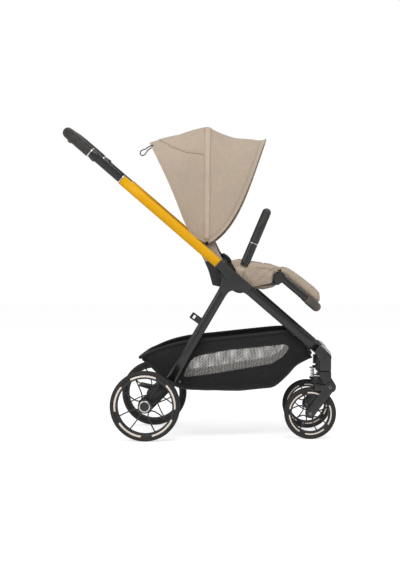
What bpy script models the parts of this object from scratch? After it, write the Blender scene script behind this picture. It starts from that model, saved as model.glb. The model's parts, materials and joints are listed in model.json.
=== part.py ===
"""Travel system stroller, in metres. +X is forward, +Y the stroller's left, +Z up; the floor is z = 0."""
import math

import bmesh
import bpy
from mathutils import Matrix, Vector

# Driving dimensions, metres and degrees
WHEELBASE = 0.5645
REAR_AXLE_X = -0.181
REAR_WHEEL_DIAMETER = 0.240
REAR_WHEEL_WIDTH = 0.045
FRONT_WHEEL_DIAMETER = 0.179
FRONT_WHEEL_WIDTH = 0.036
CASTER_TRAIL = 0.0515
FRAME_WIDTH = 0.446
REAR_WHEEL_OFFSET = 0.042
FRONT_WHEEL_INSET = 0.047
HUB_HEIGHT = 0.5645
HUB_AHEAD_OF_REAR_AXLE = 0.2965
ELBOW_RISE = 0.080
REAR_LEG_SLOPE = 59.6
REAR_LEG_LENGTH = 0.417
HANDLE_REACH = 0.7504
COLLAR_REACH = 0.500
BRACKET_REACH = 0.614
BRACKET_LENGTH = 0.028
SEAT_INSET = 0.036
CANOPY_RADIUS = 0.412
BACKREST_ANGLE = 24.5
BACKREST_LENGTH = 0.515
FOOTREST_LENGTH = 0.165
BASKET_INSET = 0.023

# Tubes: height in the side view, thickness across, wall
TUBE_HEIGHT = 0.0336
TUBE_THICKNESS = 0.022
TUBE_WALL = 0.0018
INNER_TUBE_HEIGHT = 0.029
INNER_TUBE_THICKNESS = 0.0174
GRIP_RADIUS = 0.0187
SEAT_TUBE_RADIUS = 0.011
FOOTREST_TUBE_RADIUS = 0.0125
SLEEVE_WALL = 0.0035
BUMPER_RADIUS = 0.015
CROSS_BAR_RADIUS = 0.0125
CROSS_TUBE_RADIUS = 0.016

# Small parts
SEAT_GAP = 0.0003
RUNNING_GAP = 0.0006
HUB_CHEEK = 0.0075
HUB_SOCKET_LENGTH = 0.078
HANDLE_PIVOT_REACH = 0.044
LEG_PIVOT_REACH = 0.050
HANDLE_SOCKET_LENGTH = 0.064
LEG_SOCKET_LENGTH = 0.071
PIN_RADIUS = 0.006
PIN_HEAD_RADIUS = 0.010
AXLE_RADIUS = 0.006
WHEEL_HUB_RADIUS = 0.024
FRONT_WHEEL_HUB_RADIUS = 0.017
SPOKE_WIDTH = 0.0034
SPOKE_DEPTH = 0.012
SWIVEL_RADIUS = 0.0205
SWIVEL_POST_RADIUS = 0.006
SPRING_RADIUS = 0.0085
SPRING_WIRE = 0.0026
SPRING_TURNS = 5
SOCKET_RADIUS = 0.037
LUG_WIDTH = 0.024
LUG_THICKNESS = 0.014
LUG_DEPTH = 0.006
CROWN_HEIGHT = 0.1438
LEG_END_SETBACK = 0.0295
ELBOW_NOSE = 0.0226
ELBOW_HALF = 0.0195
REFLECTOR_BULGE = 0.007
POST_LENGTH = 0.030
CROWN_HALF = 0.019
BLADE = 0.006
ARM_PIVOT_AHEAD = 0.0167
ARM_PIVOT_RISE = 0.0907
SPRING_BEHIND = 0.031
CAP_RADIUS = 0.020
HOUSING_RADIUS = 0.026
HOUSING_HALF = 0.018
PEDAL_WIDTH = 0.110
PEDAL_LENGTH = 0.050
PEDAL_ANGLE = 165
LATCH_AT = 0.175
SPOKE_ANGLES = (37, 127, 219, 309)
SPOKE_SPREAD_RIM = 17.5
SPOKE_SPREAD_HUB = 22.5
SPOKE_BEND = 0.31
SPOKE_SPREAD_ROOT = 9
COLLAR_LENGTH = 0.004
INNER_TUBE_OVERLAP = 0.100
GRIP_BEND = 0.045
BUTTON_WIDTH = 0.030
BUTTON_HEIGHT = 0.014
BUTTON_PROUD = 0.0085
BUTTON_DEPTH = 0.004
BUTTON_TRAVEL = 0.004
PANEL_THICKNESS = 0.004
CANOPY_INSET = 0.001
CANOPY_SPLIT = 1.0
CANOPY_POWER = 0.5
PANEL_START = 0.05
PANEL_STEPS = 9
WING_DEPTH = 0.030
SHELL_WALL = 0.005
BUMPER_SLOPE = 67
BUMPER_SLEEVE = 0.0735
BUMPER_REACH = 0.198
BUMPER_PEG = 0.050
KNEE_RADIUS = 0.021
FOOTREST_BEND = 0.045
FOOTREST_OFFSET = 0.0055
CALF_PAD_THICKNESS = 0.028
SLEEVE_REACH = 0.055
CANOPY_REAR = 119.5
CANOPY_RIB = 89.75
CANOPY_FRONT = 60.6
CANOPY_SAG = 0.0016
REAR_FLARE = 24
FRONT_FLARE = 37.3
CANOPY_BULGE = 0.008
BOW_ARM = 0.100
BOW_RADIUS = 0.005
ARM_THICKNESS = 0.0034
BASKET_WALL = 0.003
BASKET_STATIONS = 14
STUD_SHARE = 0.6729
STUD_RADIUS = 0.004
STUD_BELOW = 0.0163
STUD_INSET = 0.030
BASKET_RIM_RADIUS = 0.0045
PAD_THICKNESS = 0.050
SEAT_SLOPE = 8.8
BACK_PAD_THICKNESS = 0.030
STRAP_WIDTH = 0.026
STRAP_THICKNESS = 0.003

# Worked out from the sizes above
REAR_RADIUS = REAR_WHEEL_DIAMETER / 2
FRONT_RADIUS = FRONT_WHEEL_DIAMETER / 2
HALF_FRAME = FRAME_WIDTH / 2
HALF_REAR = HALF_FRAME + REAR_WHEEL_OFFSET
HALF_FRONT = HALF_FRAME - FRONT_WHEEL_INSET
HALF_SEAT = HALF_FRAME - SEAT_INSET
HALF_BASKET = HALF_FRAME - BASKET_INSET
HALF_CANOPY = HALF_SEAT - CANOPY_INSET
REAR_AXLE = Vector((REAR_AXLE_X, 0, REAR_RADIUS))
FRONT_AXLE = REAR_AXLE + Vector((WHEELBASE, 0, FRONT_RADIUS - REAR_RADIUS))
SWIVEL_X = FRONT_AXLE.x + CASTER_TRAIL
HUB = Vector((REAR_AXLE.x + HUB_AHEAD_OF_REAR_AXLE, 0, HUB_HEIGHT))
SEAM_Z = FRONT_AXLE.z + CROWN_HEIGHT
LEG_END = Vector((SWIVEL_X - LEG_END_SETBACK, 0, SEAM_Z + ELBOW_RISE))
FRAME_SLOPE = math.degrees(math.atan2(HUB.z - LEG_END.z, LEG_END.x - HUB.x))
FRONT_SPAN = SWIVEL_X - HUB.x
REAR_SPAN = HUB.x - REAR_AXLE.x
TUBE_IN = HALF_FRAME - TUBE_THICKNESS / 2
TUBE_OUT = HALF_FRAME + TUBE_THICKNESS / 2
CHEEK_IN = TUBE_IN - RUNNING_GAP - HUB_CHEEK
CHEEK_OUT = TUBE_OUT + RUNNING_GAP + HUB_CHEEK


def direction(degrees):
    """Unit vector in the side plane, counter-clockwise from +X as seen from the stroller's right."""
    angle = math.radians(degrees)
    return Vector((math.cos(angle), 0, math.sin(angle)))


HANDLE_DIRECTION = direction(180 - FRAME_SLOPE)
LEG_DIRECTION = direction(180 + REAR_LEG_SLOPE)
FRONT_DIRECTION = direction(-FRAME_SLOPE)
HANDLE_PIVOT = HUB + HANDLE_DIRECTION * HANDLE_PIVOT_REACH
LEG_PIVOT = HUB + LEG_DIRECTION * LEG_PIVOT_REACH
SOCKET_AT = HUB + Vector((0.026, 0, -0.0245))
CROSS_TUBE_AT = REAR_AXLE + Vector((0.032, 0, 0.036))
SIDES = (("right", -1), ("left", 1))

for old in list(bpy.data.objects):
    bpy.data.objects.remove(old, do_unlink=True)
parts = bpy.data.collections.new("stroller")
bpy.context.scene.collection.children.link(parts)
tools = bpy.data.collections.new("cutters")
bpy.context.scene.collection.children.link(tools)


def material(name, colour, roughness, metallic=0.0):
    made = bpy.data.materials.new(name)
    made.use_nodes = True
    shader = made.node_tree.nodes["Principled BSDF"]
    shader.inputs["Base Color"].default_value = (*colour, 1)
    shader.inputs["Roughness"].default_value = roughness
    shader.inputs["Metallic"].default_value = metallic
    made.diffuse_color = (*colour, 1)
    return made


BLACK = material("black_moulding", (0.042, 0.043, 0.043), 0.45)
TUBE = material("black_tube", (0.03, 0.03, 0.031), 0.35, 0.4)
YELLOW = material("yellow_tube", (0.82, 0.44, 0.012), 0.35, 0.2)
STEEL = material("bright_steel", (0.55, 0.54, 0.52), 0.3, 1.0)
RUBBER = material("tyre_rubber", (0.025, 0.023, 0.022), 0.8)
FABRIC = material("beige_fabric", (0.50, 0.40, 0.31), 0.9)
LEATHER = material("brown_leather", (0.07, 0.062, 0.055), 0.6)
NET = material("basket_cloth", (0.015, 0.015, 0.016), 0.9)
PALE = material("reflector", (0.55, 0.52, 0.50), 0.3)


def link(data, name, look=None, collection=None):
    made = bpy.data.objects.new(name, data)
    (collection or parts).objects.link(made)
    if look:
        data.materials.append(look)
    return made


def settle():
    bpy.context.view_layer.update()


def as_mesh(source, weld=0.00002):
    """A closed mesh object with the name, look and place of a curve or of an object with modifiers."""
    settle()
    seen = source.evaluated_get(bpy.context.evaluated_depsgraph_get())
    data = bpy.data.meshes.new_from_object(seen)
    form = bmesh.new()
    form.from_mesh(data)
    bmesh.ops.remove_doubles(form, verts=form.verts, dist=weld)
    bmesh.ops.dissolve_degenerate(form, edges=form.edges, dist=weld / 2)
    bmesh.ops.recalc_face_normals(form, faces=form.faces)
    form.to_mesh(data)
    form.free()
    name, place, home = source.name, source.matrix_world.copy(), source.users_collection[0]
    bpy.data.objects.remove(source, do_unlink=True)
    made = bpy.data.objects.new(name, data)
    home.objects.link(made)
    made.matrix_world = place
    return made


def combine(base, others, operation="UNION", solver="EXACT"):
    """Boolean of base with each of others, which are used up."""
    for other in others:
        step = base.modifiers.new(operation.lower(), "BOOLEAN")
        step.operation = operation
        step.object = other
        step.solver = solver
    base = as_mesh(base)
    for other in others:
        bpy.data.objects.remove(other, do_unlink=True)
    return base


def cut(base, *others):
    return combine(base, others, "DIFFERENCE")


def join(base, *others):
    return combine(base, others)


def smooth(made, degrees=35):
    made.data.shade_smooth()
    made.data.set_sharp_from_angle(angle=math.radians(degrees))
    return made


def rounded(made, width, segments=2, limit=35):
    """Bevels the sharp edges of a mesh."""
    step = made.modifiers.new("edge", "BEVEL")
    step.width = width
    step.segments = segments
    step.limit_method = "ANGLE"
    step.angle_limit = math.radians(limit)
    step.use_clamp_overlap = True
    return smooth(as_mesh(made))


def spline_outline(curve, points):
    line = curve.splines.new("POLY")
    line.points.add(len(points) - 1)
    for knot, (x, y) in zip(line.points, points):
        knot.co = (x, y, 0, 1)
    line.use_cyclic_u = True


def oval(height, thickness, steps=4):
    """Rounded-rectangle section: x across the height, y through the thickness."""
    radius = 0.42 * min(height, thickness)
    points = []
    for cx, cy, start in ((1, 1, 0), (-1, 1, 90), (-1, -1, 180), (1, -1, 270)):
        for i in range(steps):
            angle = math.radians(start + 90 * i / (steps - 1))
            points.append((
                cx * (height / 2 - radius) + radius * math.cos(angle),
                cy * (thickness / 2 - radius) + radius * math.sin(angle),
            ))
    return points


def frame_along(start, end, across=Vector((0, 1, 0))):
    """Rotation whose Z runs from start to end and whose Y stays near across."""
    along = (end - start).normalized()
    side = (across - along * across.dot(along)).normalized()
    return Matrix((side.cross(along), side, along)).transposed().to_4x4()


def bar(name, start, end, outlines, look):
    """Straight bar from start to end, of one or more closed outlines; the second outline is its bore."""
    curve = bpy.data.curves.new(name, "CURVE")
    curve.dimensions = "2D"
    curve.fill_mode = "BOTH"
    curve.extrude = (end - start).length / 2
    for outline in outlines:
        spline_outline(curve, outline)
    made = link(curve, name, look)
    made.matrix_world = Matrix.Translation((start + end) / 2) @ frame_along(start, end)
    return as_mesh(made)


def plate(name, outline, y_from, y_to, look=BLACK):
    """Flat plate: an outline in X and Z, extruded from y_from to y_to."""
    curve = bpy.data.curves.new(name, "CURVE")
    curve.dimensions = "2D"
    curve.fill_mode = "BOTH"
    curve.extrude = abs(y_to - y_from) / 2
    spline_outline(curve, outline)
    made = link(curve, name, look)
    middle = (y_from + y_to) / 2
    made.matrix_world = Matrix.Translation((0, middle, 0)) @ Matrix.Rotation(math.radians(90), 4, "X")
    return as_mesh(made)


def tube(name, points, radius, look=TUBE, sides=2, closed=False):
    """Round tube along points."""
    curve = bpy.data.curves.new(name, "CURVE")
    curve.dimensions = "3D"
    curve.bevel_depth = radius
    curve.bevel_resolution = sides
    curve.use_fill_caps = True
    curve.twist_mode = "MINIMUM"
    line = curve.splines.new("POLY")
    line.points.add(len(points) - 1)
    for knot, point in zip(line.points, points):
        knot.co = (*point, 1)
    line.use_cyclic_u = closed
    return as_mesh(link(curve, name, look))


def turned(name, profile, place, axis="Y", steps=24, look=BLACK):
    """Turned solid; profile is (radius, along) pairs. The turning axis is Y, or Z."""
    data = bpy.data.meshes.new(name)
    points = [(r, 0, h) for r, h in profile]
    data.from_pydata(points, [(i, i + 1) for i in range(len(points) - 1)], [])
    made = link(data, name, look)
    if profile[0] == profile[-1]:
        merge_profile(data)
    spin = made.modifiers.new("turn", "SCREW")
    spin.steps = spin.render_steps = steps
    spin.use_merge_vertices = True
    spin.merge_threshold = 0.00001
    spin.use_normal_calculate = True
    turn = Matrix.Rotation(math.radians(-90), 4, "X") if axis == "Y" else Matrix()
    made.matrix_world = Matrix.Translation(place) @ turn
    return smooth(as_mesh(made))


def merge_profile(data):
    form = bmesh.new()
    form.from_mesh(data)
    bmesh.ops.remove_doubles(form, verts=form.verts, dist=0.000001)
    form.to_mesh(data)
    form.free()


def rod(name, radius, y_from, y_to, x, z, steps=12, look=STEEL):
    """Plain round bar on an axis along Y."""
    half = abs(y_to - y_from) / 2
    return turned(name, [(0, -half), (radius, -half), (radius, half), (0, half)],
                  Vector((x, (y_from + y_to) / 2, z)), steps=steps, look=look)


def disc(name, radius, y_from, y_to, x, z, steps=18, look=BLACK):
    """Turned disc with chamfered edges, on an axis along Y."""
    low, high = min(y_from, y_to), max(y_from, y_to)
    half = (high - low) / 2
    edge = min(0.0015, half / 2)
    profile = [(0, -half), (radius - edge, -half), (radius, edge - half),
               (radius, half - edge), (radius - edge, half), (0, half)]
    return turned(name, profile, Vector((x, (low + high) / 2, z)), steps=steps, look=look)


def cutter_rod(radius, y_from, y_to, x, z, steps=12):
    made = rod("cutter", radius, y_from, y_to, x, z, steps)
    made.hide_render = True
    made.display_type = "WIRE"
    return made


def box(name, low, high, look=BLACK):
    bpy.ops.mesh.primitive_cube_add(size=1)
    made = bpy.context.object
    made.name = name
    for home in made.users_collection:
        home.objects.unlink(made)
    parts.objects.link(made)
    made.data.materials.append(look)
    low, high = Vector(low), Vector(high)
    made.data.transform(Matrix.Translation((low + high) / 2) @ Matrix.Diagonal((*(high - low), 1)))
    return made


def loft(name, rings, look, closed_ends=True):
    """Skin over rings of points, each ring with as many points as the next."""
    form = bmesh.new()
    rows = [[form.verts.new(point) for point in ring] for ring in rings]
    count = len(rows[0])
    for row, after in zip(rows, rows[1:]):
        for i in range(count):
            j = (i + 1) % count
            form.faces.new((row[i], row[j], after[j], after[i]))
    if closed_ends:
        form.faces.new(list(reversed(rows[0])))
        form.faces.new(rows[-1])
    bmesh.ops.recalc_face_normals(form, faces=form.faces)
    data = bpy.data.meshes.new(name)
    form.to_mesh(data)
    form.free()
    return smooth(link(data, name, look), 50)


def arc(centre, radius, start, end, steps):
    """Points of an arc in the side plane, as (x, z)."""
    angles = [math.radians(start + (end - start) * i / steps) for i in range(steps + 1)]
    return [(centre[0] + radius * math.cos(a), centre[1] + radius * math.sin(a)) for a in angles]


def empty(name, place):
    made = bpy.data.objects.new(name, None)
    parts.objects.link(made)
    made.location = place
    return made


def carry(name, place, *pieces):
    """Parents pieces to an empty on a joint's axis, and leaves them where they are."""
    pivot = empty(name, place)
    settle()
    for piece in pieces:
        piece.parent = pivot
        piece.matrix_parent_inverse = pivot.matrix_world.inverted()
    return pivot


def edge_points(base, along, distance, half):
    """The two corners at distance along a direction from base, half to each side of it."""
    normal = Vector((-along.z, 0, along.x))
    middle = base + along * distance
    return middle + normal * half, middle - normal * half


def fillet(a, corner, b, steps=4):
    """Quadratic curve from a to b that bends round a corner, as (x, z)."""
    points = []
    for i in range(steps + 1):
        t = i / steps
        point = a * (1 - t) ** 2 + corner * 2 * t * (1 - t) + b * t * t
        points.append((point.x, point.z))
    return points


def cross_point(p, u, q, v):
    """Where two lines in the side plane meet."""
    turn = u.x * v.z - u.z * v.x
    t = ((q.x - p.x) * v.z - (q.z - p.z) * v.x) / turn
    return p + u * t


# Hubs

def hub_outline():
    """The Y of the hub, arm by arm: rear leg, front leg, handle, with curves between the arms."""
    half = TUBE_HEIGHT / 2
    leg_up, leg_low = edge_points(HUB, LEG_DIRECTION, LEG_SOCKET_LENGTH, half)
    front_up, front_low = edge_points(HUB, FRONT_DIRECTION, HUB_SOCKET_LENGTH, half)
    handle_low, handle_up = edge_points(HUB, HANDLE_DIRECTION, HANDLE_SOCKET_LENGTH, half)
    low_corner = cross_point(leg_up, LEG_DIRECTION, front_low, FRONT_DIRECTION)
    rear_corner = cross_point(leg_low, LEG_DIRECTION, handle_low, HANDLE_DIRECTION)
    reach = 0.86
    low_curve = fillet(leg_up.lerp(low_corner, 1 - reach), low_corner,
                       front_low.lerp(low_corner, 1 - reach), 5)
    rear_curve = fillet(handle_low.lerp(rear_corner, 1 - reach), rear_corner,
                        leg_low.lerp(rear_corner, 1 - reach), 5)
    return ([(leg_up.x, leg_up.z)] + low_curve + [(front_low.x, front_low.z)]
            + [(front_up.x, front_up.z), (handle_up.x, handle_up.z)]
            + [(handle_low.x, handle_low.z)] + rear_curve + [(leg_low.x, leg_low.z)])


def hub(side, sign):
    """Forked knuckle: two cheeks round a core that stops short of both swinging tongues, with their pins."""
    outline = hub_outline()
    outer = rounded(plate("outer", outline, sign * (TUBE_OUT + RUNNING_GAP), sign * CHEEK_OUT), 0.0025, 1)
    inner = plate("inner", outline, sign * CHEEK_IN, sign * (TUBE_IN - RUNNING_GAP))
    half = TUBE_HEIGHT / 2 - 0.002
    near_up, near_low = edge_points(HUB, FRONT_DIRECTION, -0.002, half)
    far_up, far_low = edge_points(HUB, FRONT_DIRECTION, HUB_SOCKET_LENGTH - 0.032, half)
    core = plate("core", [(p.x, p.z) for p in (near_up, near_low, far_low, far_up)],
                 sign * (CHEEK_IN + HUB_CHEEK / 2), sign * (CHEEK_OUT - HUB_CHEEK / 2))
    pins = []
    for pivot in (HANDLE_PIVOT, LEG_PIVOT):
        pins.append(rod("pin", PIN_RADIUS, sign * (CHEEK_IN + 0.002), sign * (CHEEK_OUT - 0.002), pivot.x,
                        pivot.z))
        pins.append(rod("head", PIN_HEAD_RADIUS, sign * (CHEEK_IN - 0.003), sign * (CHEEK_IN + 0.001),
                        pivot.x, pivot.z))
    made = combine(outer, (core, inner, *pins), "UNION", "MANIFOLD")
    made.name = f"hub_{side}"
    return smooth(made)


# Chassis front


def front_leg(side, sign):
    """Oval tube that leaves the hub in its plane and then leans in towards the caster."""
    normal = Vector((-FRONT_DIRECTION.z, 0, FRONT_DIRECTION.x))
    start = HUB + FRONT_DIRECTION * (HUB_SOCKET_LENGTH - 0.032 + SEAT_GAP)
    bend = HUB + FRONT_DIRECTION * (HUB_SOCKET_LENGTH + 0.004)
    end = LEG_END - FRONT_DIRECTION * SEAT_GAP
    rings = []
    for middle, y in ((start, HALF_FRAME), (bend, HALF_FRAME), (end, HALF_FRONT)):
        rings.append([middle + normal * u + Vector((0, sign * y + v, 0))
                      for u, v in oval(TUBE_HEIGHT, TUBE_THICKNESS)])
    return loft(f"front_leg_{side}", rings, TUBE)


def elbow_outline():
    upper, lower = edge_points(LEG_END, FRONT_DIRECTION, 0, TUBE_HEIGHT / 2)
    nose = Vector((SWIVEL_X + ELBOW_NOSE, 0, SEAM_Z + 0.0525))
    front, rear = SWIVEL_X + SWIVEL_RADIUS, SWIVEL_X - SWIVEL_RADIUS
    return [(upper.x, upper.z), (nose.x, nose.z), (front, SEAM_Z + 0.041), (front, SEAM_Z),
            (rear, SEAM_Z), (rear, SEAM_Z + 0.041), (rear - 0.003, SEAM_Z + 0.051), (lower.x, lower.z)]


def front_elbow(side, sign):
    """Moulded elbow on the leg's end, with the bore that the swivel post turns in."""
    y = sign * HALF_FRONT
    made = rounded(plate("elbow", elbow_outline(), y - ELBOW_HALF, y + ELBOW_HALF), 0.006, 2, 50)
    bore = turned("bore", [(0, -0.001), (SWIVEL_POST_RADIUS + RUNNING_GAP, -0.001),
                           (SWIVEL_POST_RADIUS + RUNNING_GAP, POST_LENGTH + 0.001), (0, POST_LENGTH + 0.001)],
                  Vector((SWIVEL_X, y, SEAM_Z)), "Z", 14)
    made = cut(made, bore)
    made.name = f"front_elbow_{side}"
    return smooth(made)


def elbow_reflector(side, sign):
    """Bulged pale lens on the upper front face of an elbow."""
    outline = elbow_outline()
    upper, nose = Vector((outline[0][0], 0, outline[0][1])), Vector((outline[1][0], 0, outline[1][1]))
    along = (nose - upper).normalized()
    out = Vector((-along.z, 0, along.x))
    length = (nose - upper).length
    rings = []
    for step in range(6):
        t = step / 5
        bulge = 0.0012 + REFLECTOR_BULGE * math.sin(math.pi * t) ** 0.6 if 0 < t < 1 else 0.0012
        base = upper + along * (0.004 + (length - 0.006) * t) + out * SEAT_GAP
        spots = [(v, bulge * math.sqrt(1 - v * v * 0.9)) for v in (-1, -0.6, 0, 0.6, 1)] + [(1, 0), (-1, 0)]
        rings.append([base + out * height + Vector((0, sign * HALF_FRONT + v * (ELBOW_HALF - 0.004), 0))
                      for v, height in spots])
    return loft(f"elbow_reflector_{side}", rings, PALE)


def front_cross_bar():
    reach = HALF_FRONT - ELBOW_HALF - SEAT_GAP
    return disc("front_cross_bar", CROSS_BAR_RADIUS, -reach, reach, SWIVEL_X - 0.004, SEAM_Z + 0.0475, 14,
                TUBE)


def seat_socket(side, sign):
    """Round socket on the hub's inner cheek, open upwards and inwards for the seat unit's lug."""
    inner, outer = HALF_SEAT + SEAT_GAP, CHEEK_IN - SEAT_GAP
    made = disc("socket", SOCKET_RADIUS, sign * inner, sign * outer, SOCKET_AT.x, SOCKET_AT.z, 20)
    half = LUG_WIDTH / 2 + RUNNING_GAP
    floor = SOCKET_AT.z - LUG_DEPTH
    low = (SOCKET_AT.x - half, min(sign * (inner - 0.01), sign * (inner + LUG_THICKNESS + RUNNING_GAP)),
           floor)
    high = (SOCKET_AT.x + half, max(sign * (inner - 0.01), sign * (inner + LUG_THICKNESS + RUNNING_GAP)),
            SOCKET_AT.z + SOCKET_RADIUS + 0.01)
    made = cut(made, box("slot", low, high))
    made.name = f"seat_socket_{side}"
    return smooth(made)


# Wheels

def wheel_ring(name, radius, inner, width, place, look, steps, crown):
    """Turned ring whose outer face is crowned or flat, on an axis along Y."""
    half = width / 2
    thick = radius - inner
    shoulder = min(thick * 0.55, half * 0.55)
    angles = (0, 50, 90) if crown else (90,)
    outer = [(radius - shoulder + shoulder * math.sin(math.radians(a)),
              -half + shoulder - shoulder * math.cos(math.radians(a))) for a in angles]
    mirrored = [(r, -h) for r, h in reversed(outer)]
    profile = [(inner, -half)] + outer + mirrored + [(inner, half), (inner, -half)]
    return turned(name, profile, place, steps=steps, look=look)


def spoke_loop(centre_angle, radius, rim_radius, hub_radius, place):
    """U-shaped spoke: two legs that meet the rim and a bend that hugs the hub."""
    stations = ((SPOKE_SPREAD_RIM, rim_radius), (SPOKE_SPREAD_HUB, radius * SPOKE_BEND),
                (SPOKE_SPREAD_ROOT, hub_radius))
    stations += tuple((-spread, reach) for spread, reach in reversed(stations))
    line = [place + direction(centre_angle + spread) * reach for spread, reach in stations]
    data = bpy.data.meshes.new("spoke")
    across = Vector((0, SPOKE_DEPTH / 2, 0))
    corners = [point - across for point in line] + [point + across for point in line]
    count = len(line)
    data.from_pydata(corners, [], [(i, i + 1, count + i + 1, count + i) for i in range(count - 1)])
    made = link(data, "spoke", BLACK)
    wall = made.modifiers.new("wall", "SOLIDIFY")
    wall.thickness = SPOKE_WIDTH
    wall.offset = 0
    wall.use_even_offset = True
    return as_mesh(made)


def wheel(prefix, side, sign, centre, radius, width, track_half, ring_share, hub_radius, steps):
    """Tyre, and a rim with four U-shaped spokes."""
    place = Vector((centre.x, sign * track_half, centre.z))
    tyre_inner = radius * (ring_share + 0.075)
    tyre = wheel_ring(f"{prefix}_tyre_{side}", radius, tyre_inner, width, place, RUBBER, steps, True)
    rim_outer = tyre_inner - SEAT_GAP
    rim = wheel_ring("rim", rim_outer, radius * ring_share, width * 0.86, place, BLACK, steps, False)
    bore = AXLE_RADIUS + RUNNING_GAP
    loops = [spoke_loop(angle, radius, (radius * ring_share + rim_outer) / 2, hub_radius, place)
             for angle in SPOKE_ANGLES]
    half = width / 2
    core = turned("core", [(bore, -half), (hub_radius, -half), (hub_radius, half), (bore, half),
                           (bore, -half)], place, steps=14)
    rim = join(rim, *loops)
    rim = join(rim, core)
    rim.name = f"{prefix}_rim_{side}"
    return tyre, smooth(rim)


def rear_wheel(side, sign):
    tyre, rim = wheel("rear", side, sign, REAR_AXLE, REAR_RADIUS, REAR_WHEEL_WIDTH, HALF_REAR,
                      0.78, WHEEL_HUB_RADIUS, 28)
    face = HALF_REAR + REAR_WHEEL_WIDTH / 2 + SEAT_GAP
    cap = disc(f"rear_cap_{side}", CAP_RADIUS, sign * face, sign * (face + 0.005), REAR_AXLE.x, REAR_AXLE.z)
    return tyre, rim, cap


# Chassis rear

LEG_END_LOW = HUB + LEG_DIRECTION * REAR_LEG_LENGTH


def rear_leg(side, sign):
    """Oval tube with a round tongue about its pin in the hub."""
    half = TUBE_HEIGHT / 2 - RUNNING_GAP
    front, rear = edge_points(LEG_END_LOW, LEG_DIRECTION, -SEAT_GAP, half)
    round_end = arc((LEG_PIVOT.x, LEG_PIVOT.z), half, 180 + REAR_LEG_SLOPE - 90, REAR_LEG_SLOPE - 90, 10)
    made = plate("leg", round_end + [(front.x, front.z), (rear.x, rear.z)], sign * TUBE_IN,
                 sign * TUBE_OUT, TUBE)
    made = rounded(made, 0.007, 2, 60)
    made = cut(made, cutter_rod(PIN_RADIUS + RUNNING_GAP / 2, sign * (TUBE_IN - 0.01),
                                sign * (TUBE_OUT + 0.01),
                                LEG_PIVOT.x, LEG_PIVOT.z))
    made.name = f"rear_leg_{side}"
    return smooth(made)


def axle_housing(side, sign):
    """Moulded foot of the rear leg with the stub axle of the wheel."""
    half = TUBE_HEIGHT / 2 + 0.001
    front, rear = edge_points(LEG_END_LOW, LEG_DIRECTION, 0, half)
    front_more, rear_more = edge_points(LEG_END_LOW, LEG_DIRECTION, 0.030, half)
    turn = arc((REAR_AXLE.x, REAR_AXLE.z), HOUSING_RADIUS, 130, 310, 12)
    outline = [(front.x, front.z), (rear.x, rear.z)] + turn + [(front_more.x, front_more.z)]
    inner, outer = HALF_FRAME - HOUSING_HALF, HALF_REAR - REAR_WHEEL_WIDTH / 2 - RUNNING_GAP
    made = rounded(plate("housing", outline, sign * inner, sign * outer), 0.003, 2, 50)
    stub = rod("stub", AXLE_RADIUS, sign * (inner + 0.01), sign * (HALF_REAR + REAR_WHEEL_WIDTH / 2 - 0.004),
               REAR_AXLE.x, REAR_AXLE.z)
    made = join(made, stub)
    made.name = f"rear_axle_housing_{side}"
    return smooth(made)


def rear_cross_tube():
    reach = HALF_FRAME - HOUSING_HALF - SEAT_GAP
    return disc("rear_cross_tube", CROSS_TUBE_RADIUS, -reach, reach, CROSS_TUBE_AT.x, CROSS_TUBE_AT.z, 16,
                TUBE)


def brake_pedal():
    """Foot pedal whose saddle turns on the cross tube."""
    inner, outer = CROSS_TUBE_RADIUS + RUNNING_GAP, CROSS_TUBE_RADIUS + 0.006
    centre = (CROSS_TUBE_AT.x, CROSS_TUBE_AT.z)
    saddle = arc(centre, outer, 60, 250, 10)
    inside = arc(centre, inner / math.cos(math.radians(9.5)), 250, 60, 10)
    clip = plate("saddle", saddle + inside, -PEDAL_WIDTH / 2, PEDAL_WIDTH / 2)
    reach = direction(PEDAL_ANGLE)
    lift = Vector((-reach.z, 0, reach.x))
    root = CROSS_TUBE_AT + reach * (CROSS_TUBE_RADIUS + 0.003)
    tip = root + reach * PEDAL_LENGTH
    outline = [root + lift * 0.006, root - lift * 0.006, tip - lift * 0.003 + reach * 0.002,
               tip + lift * 0.004]
    pad = plate("pad", [(p.x, p.z) for p in outline], -PEDAL_WIDTH / 2 + 0.002, PEDAL_WIDTH / 2 - 0.002)
    made = join(clip, rounded(pad, 0.002, 2, 40))
    made.name = "brake_pedal"
    return smooth(made)


def fold_latch():
    """Storage catch on the rear of the right leg, with a slot for the strap."""
    out = Vector((-abs(LEG_DIRECTION.z), 0, abs(LEG_DIRECTION.x)))
    base = TUBE_HEIGHT / 2 + SEAT_GAP
    corners = ((LATCH_AT, base), (LATCH_AT + 0.002, base + 0.033), (LATCH_AT + 0.020, base + 0.037),
               (LATCH_AT + 0.029, base + 0.006), (LATCH_AT + 0.031, base))
    outline = [HUB + LEG_DIRECTION * s + out * t for s, t in corners]
    y = -HALF_FRAME
    made = rounded(plate("latch", [(p.x, p.z) for p in outline], y - 0.007, y + 0.007), 0.0015, 1, 40)
    slot = [HUB + LEG_DIRECTION * s + out * t for s, t in
            ((LATCH_AT + 0.006, base + 0.018), (LATCH_AT + 0.006, base + 0.028),
             (LATCH_AT + 0.015, base + 0.029), (LATCH_AT + 0.015, base + 0.019))]
    made = cut(made, plate("slot", [(p.x, p.z) for p in slot], y - 0.02, y + 0.02))
    made.name = "fold_latch"
    return smooth(made)


# Casters

ARM_PIVOT = Vector((SWIVEL_X + ARM_PIVOT_AHEAD, 0, FRONT_AXLE.z + ARM_PIVOT_RISE))
SPRING_AT_X = SWIVEL_X - SPRING_BEHIND
SPRING_LOW_Z = FRONT_AXLE.z + FRONT_RADIUS + 0.010
SPRING_HIGH_Z = SEAM_Z - 0.013


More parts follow.
